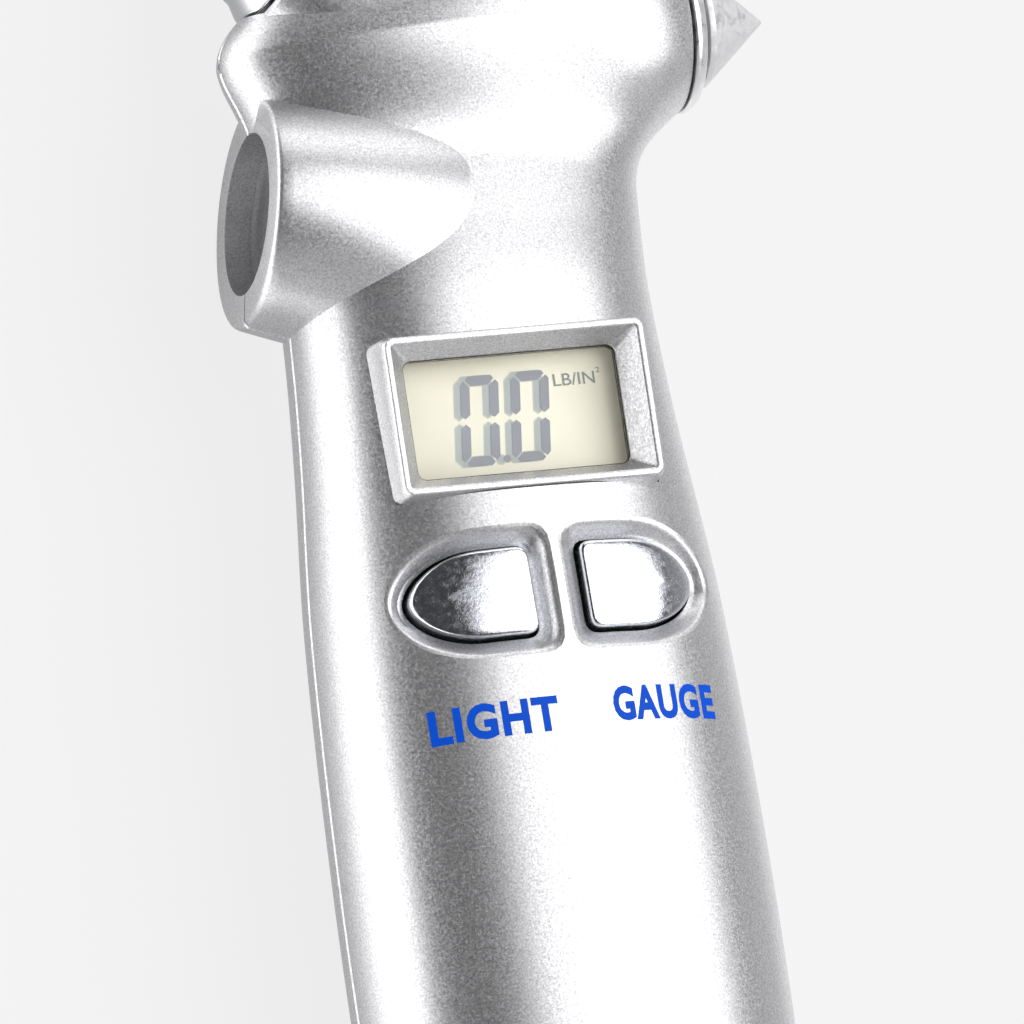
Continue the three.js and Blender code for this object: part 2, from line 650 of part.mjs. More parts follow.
// torch: lens, ring, reflector, light source and its board
const torchFit = torchBore - 0.25;   // radius of the pieces that sit in the torch's bore
const cupMouth = torchFit - 0.55;
const lensEnd = lensInset + lensThickness;
const lens = turned([[0, lensInset], [cupMouth, lensInset + 0.2], [torchFit, lensInset + 0.4], [torchFit, lensEnd],
  [0, lensEnd]], torchFace, torchIn, 32);
piece('torch_lens', lens, clearPlastic);
const ringInner = torchFit - 0.85;
const ringStart = lensEnd + clearance;
const ringEnd = ringStart + 0.9;
const reflectorStart = ringEnd + clearance;
piece('torch_seal', turned([[ringInner, ringStart], [torchFit, ringStart], [torchFit, ringEnd], [ringInner, ringEnd],
  [ringInner, ringStart]], torchFace, torchIn, 28), blackRubber);
const reflectorLength = 7.2;
const reflectorEnd = reflectorStart + reflectorLength;
const ledRadius = 2.5;
const cup = [];
const cupSteps = 5;
for (let i = 0; i <= cupSteps; i += 1) {
  const depth = i / cupSteps;
  cup.push([cupMouth - (cupMouth - ledRadius - 0.4) * depth ** 2, reflectorStart + reflectorLength * depth]);
}
const cupBack = cup.map(([radius, along]) => [radius + 0.6, along]).reverse();
cupBack[cupBack.length - 1][0] = torchFit;
piece('torch_reflector', turned([...cup, ...cupBack, cup[0]], torchFace, torchIn, 28), brightReflector);
const ledTip = reflectorStart + 3;
const ledCollar = ledRadius + 0.5;
const ledEnd = reflectorEnd + 1.2;
piece('torch_led', turned([[0, ledTip], [1.5, ledTip + 0.5], [2.3, ledTip + 1.4], [ledRadius, ledTip + 2.5],
  [ledRadius, reflectorEnd + clearance], [ledCollar, reflectorEnd + clearance], [ledCollar, ledEnd], [0, ledEnd]],
torchFace, torchIn, 20), clearPlastic);
const discRadius = torchBore - 2.3;
const discThickness = 1.2;
const discStart = ledEnd + clearance;
piece('torch_board', rod(inTorch(discStart), torchIn, discRadius, discThickness, discRadius, 20), boardGreen);

// hammer: pointed tip with its shank, collar and inner nut
const shankEnd = headRight - 8 - tipStart;
const tipShoulder = 0.6;
const hammerProfile = [
  [0, shankEnd], [hammerShank, shankEnd], [hammerShank, -tipShoulder], [hammerBaseRadius, -tipShoulder],
  [hammerBaseRadius, 0], [0, hammerPoint],
];
piece('hammer_tip', turned(hammerProfile, at(tipStart, headAxisY, 0), right), steel);
const collarBore = hammerShank + clearance;
const collarEnd = collarLength - tipShoulder - clearance;
const collarProfile = [
  [collarBore, 0], [headEndRadius, 0], [headEndRadius, 0.5], [headEndRadius - 0.5, 1.5],
  [headEndRadius - 1.4, collarEnd], [collarBore, collarEnd], [collarBore, 0],
];
piece('hammer_collar', turned(collarProfile, at(collarStart, headAxisY, 0), right), chrome);
const nutEnd = headRight - shellWall - clearance;
const hammerNutRadius = 5;
const hammerNut = rod(at(nutEnd - 3, headAxisY, 0), right, hammerNutRadius, 3, hammerNutRadius, 6);
const nutBore = rod(at(nutEnd - 5, headAxisY, 0), right, hammerShank + 0.15, 8);
piece('hammer_nut', hammerNut.subtract(nutBore), steel);

// cells, contacts and springs
const cellZ = cellFloor + batteryRadius;
const contactThickness = 0.4;
const contactHead = batteryHeadY - clearance - contactThickness;
const contactFoot = batteryFootY + clearance + contactThickness;
const nub = 0.8;
const nubRadius = 1.9;
function cell(start, direction) {
  const length = batteryLength;
  return turned([[0, 0], [batteryRadius, 0], [batteryRadius, length - nub], [nubRadius, length - nub],
    [nubRadius, length], [0, length]], start, direction, 24);
}
const cellOneEnd = contactHead - clearance;
piece('battery_1', cell(at(-cellPitch / 2, cellOneEnd - batteryLength, cellZ), headward), cellSleeve);
const cellTwoEnd = contactFoot + clearance;
piece('battery_2', cell(at(cellPitch / 2, cellTwoEnd + batteryLength, cellZ), footward), cellSleeve);

const contactHalf = 4.2;
function contactPlate(x0, x1, y) {
  return box(x0 - contactHalf, x1 + contactHalf, y, y + contactThickness, cellZ - 4, cellZ + 4);
}
piece('contact_head_1', contactPlate(-cellPitch / 2, -cellPitch / 2, contactHead), nickel);
piece('contact_head_2', contactPlate(cellPitch / 2, cellPitch / 2, contactHead), nickel);
piece('contact_foot', contactPlate(-cellPitch / 2, cellPitch / 2, contactFoot - contactThickness), nickel);

const coilTurns = 2.2;
const coilRadius = 3.4;
const coilWire = 0.28;
class Coil extends THREE.Curve {
  constructor(centre, direction, length) {
    super();
    Object.assign(this, { centre, direction, length });
  }

  getPoint(t, target = new THREE.Vector3()) {
    const turn = t * coilTurns * 2 * Math.PI;
    const radius = coilRadius - 1.1 * t;
    const along = 0.35 + t * (this.length - 0.7);
    target.set(radius * Math.cos(turn), this.direction * along, radius * Math.sin(turn));
    return target.add(this.centre);
  }
}
const springOne = new Coil(at(-cellPitch / 2, contactFoot + clearance, cellZ), 1, springLength - clearance);
piece('battery_spring_1', tube(springOne, coilWire, 30, 6), nickel);
const springTwo = new Coil(at(cellPitch / 2, contactHead - clearance, cellZ), -1, springLength - clearance);
piece('battery_spring_2', tube(springTwo, coilWire, 30, 6), nickel);

// wires
const wireRadius = 0.55;
const wireFloor = boardTop - boardThickness - clearance - 1;
function wire(name, points, material) {
  piece(name, tube(points, wireRadius, 12, 6), material);
}
for (const [name, side, material] of [['battery_lead_red', -1, leadRed], ['battery_lead_black', 1, blackRubber]]) {
  wire(name, [at(3 * side, batteryHeadY + 2.1, -3), at(3.4 * side, -44, -4.6), at(3 * side, -36, -5.4),
    at(2.4 * side, boardFoot - 2, wireFloor - 0.6), at(2.4 * side, boardFoot + 2, wireFloor)], material);
}
const discBack = inTorch(discStart + discThickness + clearance + wireRadius);
for (const [name, y, material] of [['torch_lead_red', 2, leadRed], ['torch_lead_black', -1.2, blackRubber]]) {
  const start = discBack.clone().add(at(0.4, y - 1, -3.2));
  wire(name, [start, start.clone().add(at(0.4, -3, -1.6)), at(-2 + y * 0.8, boardHead + 1, wireFloor - 0.8),
    at(-2 + y * 0.8, boardHead - 3, wireFloor)], material);
}

// screws
const screwLength = 9;
const slotHalf = 1.5;
screwPlaces.forEach(([x, y], index) => {
  const head = screwSeat - clearance;
  const screw = turned([[0, -1.7], [1.9, -1.7], [screwHeadRadius, -1.1], [screwHeadRadius, 0], [screwShank, 0],
    [screwShank, screwLength - 0.8], [0, screwLength]], at(x, y, head), up, 14);
  const slot = box(x - slotHalf, x + slotHalf, y - 0.3, y + 0.3, head - 2, head - 1.1);
  const cross = box(x - 0.3, x + 0.3, y - slotHalf, y + slotHalf, head - 2, head - 1.1);
  piece(`shell_screw_${index + 1}`, screw.subtract(slot).subtract(cross), steel);
});

export default gauge;
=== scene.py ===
import json
import math
import bpy
import bmesh
import numpy as np
from mathutils import Matrix, Vector


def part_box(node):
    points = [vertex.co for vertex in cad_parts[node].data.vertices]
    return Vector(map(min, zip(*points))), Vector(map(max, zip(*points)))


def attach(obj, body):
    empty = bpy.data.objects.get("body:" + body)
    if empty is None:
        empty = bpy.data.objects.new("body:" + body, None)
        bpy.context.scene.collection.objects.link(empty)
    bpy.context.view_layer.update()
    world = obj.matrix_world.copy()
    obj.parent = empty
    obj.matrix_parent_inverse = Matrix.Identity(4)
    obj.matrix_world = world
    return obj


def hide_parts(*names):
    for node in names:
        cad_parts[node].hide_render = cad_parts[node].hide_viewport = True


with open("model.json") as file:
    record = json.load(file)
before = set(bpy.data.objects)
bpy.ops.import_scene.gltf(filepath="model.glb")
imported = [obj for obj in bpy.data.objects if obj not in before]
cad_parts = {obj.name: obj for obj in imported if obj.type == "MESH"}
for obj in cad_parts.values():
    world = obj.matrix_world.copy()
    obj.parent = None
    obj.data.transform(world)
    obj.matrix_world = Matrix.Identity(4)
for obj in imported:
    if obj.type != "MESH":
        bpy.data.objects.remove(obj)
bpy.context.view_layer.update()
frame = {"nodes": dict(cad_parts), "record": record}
nodes = frame["nodes"]
mm = 0.001

# Pieces are modelled in millimetres, with heights counted from the plane where the two shells meet.
seamHalf = 0.1
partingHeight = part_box("front_shell")[0].z / mm - seamHalf
toFrame = Matrix.Translation((0, 0, partingHeight * mm)) @ Matrix.Scale(mm, 4)


# ---------- small helpers ----------
def newObject(name, bm):
    mesh = bpy.data.meshes.new(name)
    bm.to_mesh(mesh)
    bm.free()
    obj = bpy.data.objects.new(name, mesh)
    bpy.context.scene.collection.objects.link(obj)
    return obj


def boolean(target, cutter, operation):
    step = target.modifiers.new(operation, "BOOLEAN")
    step.solver = "MANIFOLD"
    step.operation = operation
    step.object = cutter
    graph = bpy.context.evaluated_depsgraph_get()
    result = bpy.data.meshes.new_from_object(target.evaluated_get(graph))
    target.modifiers.clear()
    old = target.data
    target.data = result
    bpy.data.meshes.remove(old)
    bpy.data.objects.remove(cutter)


def cut(target, cutter):
    boolean(target, cutter, "DIFFERENCE")


def join(target, cutter):
    boolean(target, cutter, "UNION")


def shadeByAngle(obj, degrees=32):
    obj.data.polygons.foreach_set("use_smooth", [True] * len(obj.data.polygons))
    obj.data.set_sharp_from_angle(angle=math.radians(degrees))


def settle(obj, body, material, slot, *replaced):
    # puts a finished piece in the frame, gives it its material, and hides the CAD pieces it stands for
    obj.data.transform(toFrame)
    obj.data.materials.clear()
    obj.data.materials.append(material)
    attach(obj, body)
    if replaced:
        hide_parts(*replaced)
    return obj


def bridgeRings(bm, rings, closed=False):
    # rings are lists of points of one length: a grid is laid over them and closed round,
    # and each end gets a cap unless the rings themselves close on the first
    if closed:
        rings = rings + [rings[0]]
    across, around = len(rings) - 1, len(rings[0])
    bmesh.ops.create_grid(bm, x_segments=across, y_segments=around, size=0.5)
    for vert in bm.verts:
        ring, place = round((vert.co.x + 0.5) * across), round((vert.co.y + 0.5) * around)
        vert.co = rings[ring][place % around]
    bmesh.ops.remove_doubles(bm, verts=bm.verts, dist=1e-5)
    if not closed:
        bmesh.ops.holes_fill(bm, edges=[edge for edge in bm.edges if edge.is_boundary], sides=0)
    bmesh.ops.recalc_face_normals(bm, faces=bm.faces)


def spun(name, profile, start, direction, steps=96):
    # profile: [radius, distance along the axis], from axis to axis or closed on itself
    bm = bmesh.new()
    verts = [bm.verts.new((radius, 0, along)) for radius, along in profile]
    closed = min(radius for radius, along in profile) > 1e-6
    edges = [bm.edges.new((verts[i], verts[i + 1])) for i in range(len(verts) - 1)]
    if closed:
        edges.append(bm.edges.new((verts[-1], verts[0])))
    bmesh.ops.spin(bm, geom=verts + edges, axis=(0, 0, 1), cent=(0, 0, 0),
                   angle=2 * math.pi, steps=steps, use_merge=True)
    bmesh.ops.remove_doubles(bm, verts=bm.verts, dist=1e-4)
    bmesh.ops.recalc_face_normals(bm, faces=bm.faces)
    turn = Vector((0, 0, 1)).rotation_difference(Vector(direction)).to_matrix().to_4x4()
    bmesh.ops.transform(bm, matrix=Matrix.Translation(start) @ turn, verts=bm.verts)
    return newObject(name, bm)


def roundCorners(profile, radius, segments=4):
    # rounds the inner corners of an open profile with short arcs
    out = [profile[0]]
    for i in range(1, len(profile) - 1):
        here = Vector(profile[i])
        before, after = Vector(profile[i - 1]) - here, Vector(profile[i + 1]) - here
        reach = min(radius, before.length * 0.45, after.length * 0.45)
        if reach < 1e-4:
            out.append(tuple(here))
            continue
        a, b = here + before.normalized() * reach, here + after.normalized() * reach
        for k in range(segments + 1):
            t = k / segments
            out.append(tuple(a * (1 - t) ** 2 + here * 2 * t * (1 - t) + b * t * t))
    out.append(profile[-1])
    return out


# ---------- the outer form ----------
form = {
    "gripReach": 143.0, "gripHalfWidth": 20.3, "waistHalfWidth": 17.2, "gripFrontDepth": 15.0,
    "displayFrontDepth": 12.4, "neckDepth": 8.8, "sectionPower": 2.25, "shellWall": 2.2,
    "headAxisY": 36.6, "headRadius": 11.0, "headCrown": 6.5, "headLeft": 20.0, "headRight": 23.2,
    "headEndRadius": 7.8, "eggPower": 1.85, "blendRadius": 5.0, "footRound": 14.0, "footPower": 2.4,
    "restRise": 0.4, "skin": 0.09,
}
restDepth = partingHeight + form["restRise"]
gripHalf, waistHalf = form["gripHalfWidth"], form["waistHalfWidth"]
palm, face, neck = form["gripFrontDepth"], form["displayFrontDepth"], form["neckDepth"]
stations = np.array([
    [-form["gripReach"], gripHalf - 1.6, palm - 2, restDepth],
    [-60, gripHalf, palm, restDepth],
    [-40, gripHalf - 0.05, palm - 0.1, restDepth],
    [-17, gripHalf - 0.9, (palm + face) / 2 + 0.2, restDepth],
    [0, (gripHalf + 2.6 * waistHalf) / 3.6 - 0.2, face, restDepth],
    [12, waistHalf, face - 0.9, restDepth - 0.6],
    [19, waistHalf + 0.3, face - 2.2, restDepth - 1.3],
    [23, waistHalf + 0.6, face - 3, face - 1.2],
    [28, waistHalf + 0.9, neck - 0.4, neck - 0.4],
    [form["headAxisY"], waistHalf + 0.6, neck - 1, neck - 1],
])


def along(column, y):
    # smooth curve through the stations
    places, values = stations[:, 0], stations[:, column]
    slopes = np.zeros(len(places))
    slopes[1:-1] = (values[2:] - values[:-2]) / (places[2:] - places[:-2])
    i = np.clip(np.searchsorted(places, y) - 1, 0, len(places) - 2)
    span = places[i + 1] - places[i]
    t = np.clip((y - places[i]) / span, 0, 1)
    bend = (t ** 3 - 2 * t ** 2 + t) * slopes[i] + (t ** 3 - t ** 2) * slopes[i + 1]
    return values[i] + (values[i + 1] - values[i]) * t * t * (3 - 2 * t) + bend * span


def gripField(x, y, z):
    into = np.maximum((form["footRound"] - form["gripReach"] - y) / form["footRound"], 0)
    shrink = np.maximum(1 - into ** form["footPower"], 1e-6) ** (1 / form["footPower"])
    width = along(1, y) * shrink
    depth = np.where(z > 0, along(2, y), along(3, y)) * shrink
    reach = np.hypot(x, z) + 1e-9
    power = form["sectionPower"]
    share = (np.abs(x) / width) ** power + (np.abs(z) / depth) ** power + 1e-12
    return reach - reach / share ** (1 / power) + np.maximum(y - form["headAxisY"], 0)


def headField(x, y, z):
    crown, left, power = form["headCrown"], form["headLeft"], form["eggPower"]
    share = np.clip((crown - x) / (crown + left), 0, 1)
    egg = form["headRadius"] * (1 - share ** power) ** (1 / power)
    into = np.maximum(x - crown, 0) / (form["headRight"] - crown)
    taper = form["headRadius"] - (form["headRadius"] - form["headEndRadius"]) * into ** 4
    radius = np.where(x < -left, x + left, np.where(x < crown, egg, taper))
    return np.hypot(y - form["headAxisY"], z) - radius


def bodyField(x, y, z):
    grip, head = gripField(x, y, z), headField(x, y, z)
    blend = form["blendRadius"]
    near = np.maximum(blend - np.abs(grip - head), 0) / blend
    return np.minimum(grip, head) - near * near * blend / 4 + form["skin"]


def crossing(fieldAlong, far, samples=70):
    # first place where the field turns positive, going out from 0 to far
    steps = np.linspace(0, 1, samples + 1)[1:]
    low, high = np.zeros_like(far), far.copy()
    stillIn = np.ones(far.shape, bool)
    for share in steps:
        out = (fieldAlong(far * share) > 0) & stillIn
        high[out] = (far * share)[out]
        stillIn &= ~out
        low[stillIn] = (far * share)[stillIn]
    for _ in range(34):
        middle = (low + high) / 2
        inside = fieldAlong(middle) < 0
        low, high = np.where(inside, middle, low), np.where(inside, high, middle)
    return (low + high) / 2


def frontHeight(x, y, inset=0.0):
    x, y = np.broadcast_arrays(np.asarray(x, float), np.asarray(y, float))
    return crossing(lambda z: bodyField(x, y, z) + inset, np.full(x.shape, 22.0), 40)


def formRows(inset, fineness):
    # places of the cross sections, closer together where the form turns
    edge = inset + form["skin"]
    foot, crown = edge - form["gripReach"], form["headAxisY"] + form["headRadius"] - edge
    footPart = foot + form["footRound"] * (1 - np.cos(np.linspace(0, 1, int(26 * fineness))[:-1] * np.pi / 2))
    gripPart = np.linspace(foot + form["footRound"], -30, int(60 * fineness))[:-1]
    neckPart = np.linspace(-30, 21, int(56 * fineness))[:-1]
    headPart = 21 + (crown - 21) * np.sin(np.linspace(0, 1, int(66 * fineness)) * np.pi / 2)
    return np.concatenate([footPart, gripPart, neckPart, headPart])


def formGrid(side, inset, fineness, columns, groove):
    # half of the body as a grid of points: side 1 is the front, -1 the rear
    y = formRows(inset, fineness)
    y[0], y[-1] = y[0] + 1e-3, y[-1] - 1e-3
    zero = np.zeros_like(y)
    probe = lambda direction: (lambda t: bodyField(direction * t, y, zero) + inset)
    right = crossing(probe(1), zero + 40, 100)
    left = crossing(probe(-1), zero + 40, 100)
    centre, half = (right - left) / 2, np.maximum((right + left) / 2, 1e-3)
    depth = np.maximum(crossing(lambda t: bodyField(centre, y, side * t) + inset, zero + 25, 60), 1e-3)
    angle = np.linspace(0, np.pi, columns + 1)
    dx = half[:, None] * np.cos(angle)[None, :]
    dz = side * depth[:, None] * np.sin(angle)[None, :]
    cx = centre[:, None] + 0 * dx
    yy = y[:, None] + 0 * dx
    t = crossing(lambda s: bodyField(cx + dx * s, yy, dz * s) + inset, np.full(dx.shape, 1.5), 60)
    x, z = cx + dx * t, dz * t
    if side < 0:
        z = np.maximum(z, -partingHeight + inset + 0.004)
    # the edges at the parting plane are eased
    slight, second = groove * 0.25, seamHalf + 0.18
    for column, height, ease in ((0, seamHalf, groove), (1, second, slight),
                                 (-1, seamHalf, groove), (-2, second, slight)):
        z[:, column] = side * height
        edge = x[:, column] - centre
        x[:, column] = centre + np.sign(edge) * np.maximum(np.abs(edge) - ease, 0)
    x[0, :], x[-1, :] = centre[0], centre[-1]
    z[0, :], z[-1, :] = side * seamHalf, side * seamHalf
    return np.stack([x, yy, z], axis=-1)


seamEase = 0.22
skinFineness, skinColumns = ((1.0, 88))


def halfBody(name, side, inset=0.0, fineness=skinFineness, columns=skinColumns, groove=seamEase):
    points = formGrid(side, inset, fineness, columns, groove)
    rows = points.shape[0] - 1
    bm = bmesh.new()
    bmesh.ops.create_grid(bm, x_segments=rows, y_segments=columns, size=0.5)
    for vert in bm.verts:
        row, column = round((vert.co.x + 0.5) * rows), round((vert.co.y + 0.5) * columns)
        vert.co = points[row, column]
    bmesh.ops.remove_doubles(bm, verts=bm.verts, dist=1e-4)
    rim = [edge for edge in bm.edges if edge.is_boundary]
    bmesh.ops.contextual_create(bm, geom=rim)
    bmesh.ops.recalc_face_normals(bm, faces=bm.faces)
    bmesh.ops.bisect_plane(bm, geom=bm.verts[:] + bm.edges[:] + bm.faces[:],
                           plane_co=(form["headRight"] - inset, 0, 0), plane_no=(1, 0, 0), clear_outer=True)
    bmesh.ops.holes_fill(bm, edges=[e for e in bm.edges if e.is_boundary], sides=0)
    bmesh.ops.recalc_face_normals(bm, faces=bm.faces)
    return newObject(name, bm)


def innerBody(name, side, inset):
    # a coarser half, used only to cut with
    return halfBody(name, side, inset, 0.5, 44, 0.0)


def smoothOuter(obj):
    # gives the faces on the outer form the form's own true normals, so cuts leave no dents in the gloss
    mesh = obj.data
    count = len(mesh.vertices)
    place = np.zeros(count * 3)
    mesh.vertices.foreach_get("co", place)
    place = place.reshape(-1, 3)
    x, y, z = place.T
    step = 0.02
    gradient = np.stack([bodyField(x + step, y, z) - bodyField(x - step, y, z),
                         bodyField(x, y + step, z) - bodyField(x, y - step, z),
                         bodyField(x, y, z + step) - bodyField(x, y, z - step)], axis=-1)
    gradient /= np.linalg.norm(gradient, axis=1)[:, None] + 1e-12
    flat = np.abs(z + partingHeight) < 0.006
    gradient[flat] = (0, 0, -1)
    onForm = (np.abs(bodyField(x, y, z)) < 0.035) | flat
    normals = np.zeros((len(mesh.loops), 3))
    for face in mesh.polygons:
        if all(onForm[v] for v in face.vertices):
            middle = gradient[list(face.vertices)].mean(axis=0)
            if float(np.dot(middle, face.normal)) > 0.93:
                for loop in face.loop_indices:
                    normals[loop] = gradient[mesh.loops[loop].vertex_index]
    mesh.normals_split_custom_set(normals.tolist())


# ---------- torch housing ----------
torch = {
    "face": Vector((-19.4, 22.7, 0)), "turn": 10.0, "faceRadius": 10.6, "draft": 0.12, "crown": 0.8,
    "peak": 8.0, "dip": 0.06, "depth": 21.0, "nose": 2.0, "bore": 7.5, "rimRound": 0.5,
}
torchAngle = math.radians(torch["turn"])
torchIn = Vector((math.cos(torchAngle), -math.sin(torchAngle), 0))
torchSide = Vector((math.sin(torchAngle), math.cos(torchAngle), 0))


def torchHousing(name, side):
    # half of the housing, as the shells are split through it
    noseStart = torch["depth"] - torch["nose"]
    depths = [(0, -torch["rimRound"]), (0.06, -0.22), (0.22, -0.06), (torch["rimRound"], 0)]
    depths += [(s, 0) for s in np.linspace(1.5, noseStart, 22)]
    depths += [(noseStart + torch["nose"] * share, 0) for share in (0.3, 0.5, 0.68, 0.82, 0.92, 0.98)]
    rings = []
    steps = 72
    for s, ease in depths:
        centre = torch["face"] + torchIn * s - torchSide * torch["dip"] * s
        nose = math.sqrt(1 - (max(s - noseStart, 0) / torch["nose"]) ** 2)
        across = (torch["faceRadius"] + torch["draft"] * s) * nose + ease
        out = (torch["faceRadius"] + torch["crown"] * (1 - (1 - s / torch["peak"]) ** 2)) * nose + ease
        ring = []
        for k in range(steps + 1):
            angle = k / steps * math.pi
            lift = out * math.sin(angle)
            spread = across * math.cos(angle)
            if k in (0, steps):
                lift, spread = seamHalf, spread - math.copysign(seamEase, spread)
            if k in (1, steps - 1):
                lift = 0.34
            ring.append(centre + torchSide * spread + Vector((0, 0, side * lift)))
        rings.append(ring)
    bm = bmesh.new()
    bridgeRings(bm, rings)
    return newObject(name, bm)


def rod(name, start, direction, radius, length, steps=72):
    return spun(name, [(0, 0), (radius, 0), (radius, length), (0, length)], start, direction, steps)


def block(name, low, high):
    bm = bmesh.new()
    bmesh.ops.create_cube(bm, size=1)
    low, high = Vector(low), Vector(high)
    bmesh.ops.scale(bm, vec=high - low, verts=bm.verts)
    bmesh.ops.translate(bm, vec=(low + high) / 2, verts=bm.verts)
    return newObject(name, bm)


# ---------- buttons and their wells ----------
button = {"length": 11.1, "width": 8.2, "inner": 2.5, "middle": 0.7, "y": -17.0, "sink": 0.3, "gap": 0.3,
          "wellMargin": 1.65, "wellDepth": 1.5, "corner": 1.1}


def buttonOutline(side, margin):
    # flat towards the middle, pointed like a bow on its outer side
    inner, outer = button["inner"] - margin, button["inner"] + button["length"] + margin
    half = button["width"] / 2 + margin
    shoulder = inner + (outer - inner) * 0.42
    corner = max(button["corner"] + margin * 0.5, 0.35)
    upper = []
    for k in range(5):
        t = k / 4
        upper.append((inner + corner * t * t, half - corner * (1 - t) ** 2))
    for k in range(1, 4):
        upper.append((inner + corner + (shoulder - inner - corner) * k / 4, half))
    knots = ((shoulder, half), (outer - 2.6, half), (outer, half * 0.42), (outer, 0.0))
    for k in range(17):
        t = k / 16
        weights = ((1 - t) ** 3, 3 * t * (1 - t) ** 2, 3 * t * t * (1 - t), t ** 3)
        upper.append(tuple(sum(w * p[i] for w, p in zip(weights, knots)) for i in range(2)))
    lower = [(x, -y) for x, y in reversed(upper[:-1])]
    return [(button["middle"] + side * x, button["y"] + y) for x, y in upper + lower]


def ringOnFront(outline, drop):
    xs, ys = np.array(outline).T
    heights = frontHeight(xs, ys) - drop
    return [Vector((x, y, z)) for x, y, z in zip(xs, ys, heights)]


def flatRing(outline, z):
    return [Vector((x, y, z)) for x, y in outline]


def wellCutter(name, side):
    margin, deep = button["wellMargin"], button["wellDepth"]
    bm = bmesh.new()
    slope = [(0.62, -1.0), (0.62, -0.1), (0.42, 0.015), (0.2, 0.07), (0.0, 0.2), (-0.22, 0.42)]
    rings = [flatRing(buttonOutline(side, margin + 0.62), 22)]
    rings += [ringOnFront(buttonOutline(side, margin + out), drop) for out, drop in slope]
    low = button["gap"] + 0.25
    rings.append(ringOnFront(buttonOutline(side, low + 0.2), deep - 0.12))
    rings.append(ringOnFront(buttonOutline(side, low), deep))
    rings.append(ringOnFront(buttonOutline(side, button["gap"]), deep + 0.2))
    rings.append(flatRing(buttonOutline(side, button["gap"]), 5.2))
    rings.append(flatRing(buttonOutline(side, 1.5), 5.2))
    rings.append(flatRing(buttonOutline(side, 1.5), -0.5))
    bridgeRings(bm, rings)
    return newObject(name, bm)


def buttonPiece(name, side):
    sink = button["sink"]
    rings = [flatRing(buttonOutline(side, 0.0), 3.8)]
    for inset, drop in ((0.0, 1.3), (0.0, 0.5), (-0.02, 0.3), (-0.08, 0.15), (-0.18, 0.06), (-0.34, 0.02),
                        (-0.7, -0.02), (-1.3, -0.05), (-2.0, -0.08), (-2.8, -0.1), (-3.4, -0.1)):
        rings.append(ringOnFront(buttonOutline(side, inset), sink + drop))
    bm = bmesh.new()
    bridgeRings(bm, rings)
    return newObject(name, bm)


# ---------- display frame ----------
bezel = {"width": 24.8, "height": 14.7, "rise": 0.6, "rim": 0.6, "drop": 2.5, "windowWidth": 20.4,
         "windowHeight": 11.2, "ledge": 0.6, "corner": 0.9, "root": 7.0}
bezelTop = form["displayFrontDepth"] + bezel["rise"]
windowPlane = bezelTop - bezel["drop"]


def roundedRing(halfWidth, halfHeight, corner, z, perCorner=6):
    ring = []
    for quarter in range(4):
        sx, sy = ((1, 1), (-1, 1), (-1, -1), (1, -1))[quarter]
        for k in range(perCorner + 1):
            angle = (quarter + k / perCorner) * math.pi / 2
            ring.append(Vector((sx * (halfWidth - corner) + corner * math.cos(angle),
                                sy * (halfHeight - corner) + corner * math.sin(angle), z)))
    return ring


def bezelFrame(name):
    w, h, top, corner = bezel["width"] / 2, bezel["height"] / 2, bezelTop, bezel["corner"]
    ww, wh = bezel["windowWidth"] / 2, bezel["windowHeight"] / 2
    rim, root = bezel["rim"], bezel["root"]
    sections = [
        (w + 0.5, h + 0.5, corner, root), (w + 0.26, h + 0.26, corner, top - 1.1),
        (w + 0.1, h + 0.1, corner, top - 0.32),
        (w + 0.02, h + 0.02, corner, top - 0.12), (w - 0.05, h - 0.05, corner, top - 0.02),
        (w - 0.12, h - 0.12, corner * 0.8, top), (w - rim + 0.1, h - rim + 0.1, corner * 0.5, top),
        (w - rim, h - rim, 0.35, top - 0.06),
        (w - rim - 0.1, h - rim - 0.1, 0.3, top - 0.18),
        (ww + 0.16, wh + 0.16, 0.75, windowPlane + 0.12), (ww + 0.04, wh + 0.04, 0.8, windowPlane + 0.02),
        (ww, wh, 0.85, windowPlane - 0.1), (ww, wh, 0.85, windowPlane - bezel["ledge"]),
        (ww + 1.1, wh + 1.1, 0.5, windowPlane - bezel["ledge"]), (ww + 1.1, wh + 1.1, 0.5, root),
    ]
    bm = bmesh.new()
    bridgeRings(bm, [roundedRing(*section) for section in sections], closed=True)
    return newObject(name, bm)


# ---------- nozzle and hammer places ----------
nozzle = {"turn": 45.0, "base": Vector((-11.6, 45.0, 0)), "baseRadius": 6.9, "lipRadius": 5.5, "length": 9.0,
          "bore": 4.3, "stem": 3.6, "stemDepth": 9.0, "mouthDepth": 5.2, "gap": 0.3, "nutRadius": 4.6,
          "bossRoot": 10.0, "bossRadius": 9.0}
nozzleAngle = math.radians(nozzle["turn"])
nozzleOut = Vector((-math.sin(nozzleAngle), math.cos(nozzleAngle), 0))
hammer = {"base": 5.6, "point": 6.2, "shank": 3.0, "collar": 2.3, "gap": 0.3, "shoulder": 0.6}
headRightward = Vector((1, 0, 0))
upward = Vector((0, 0, 1))

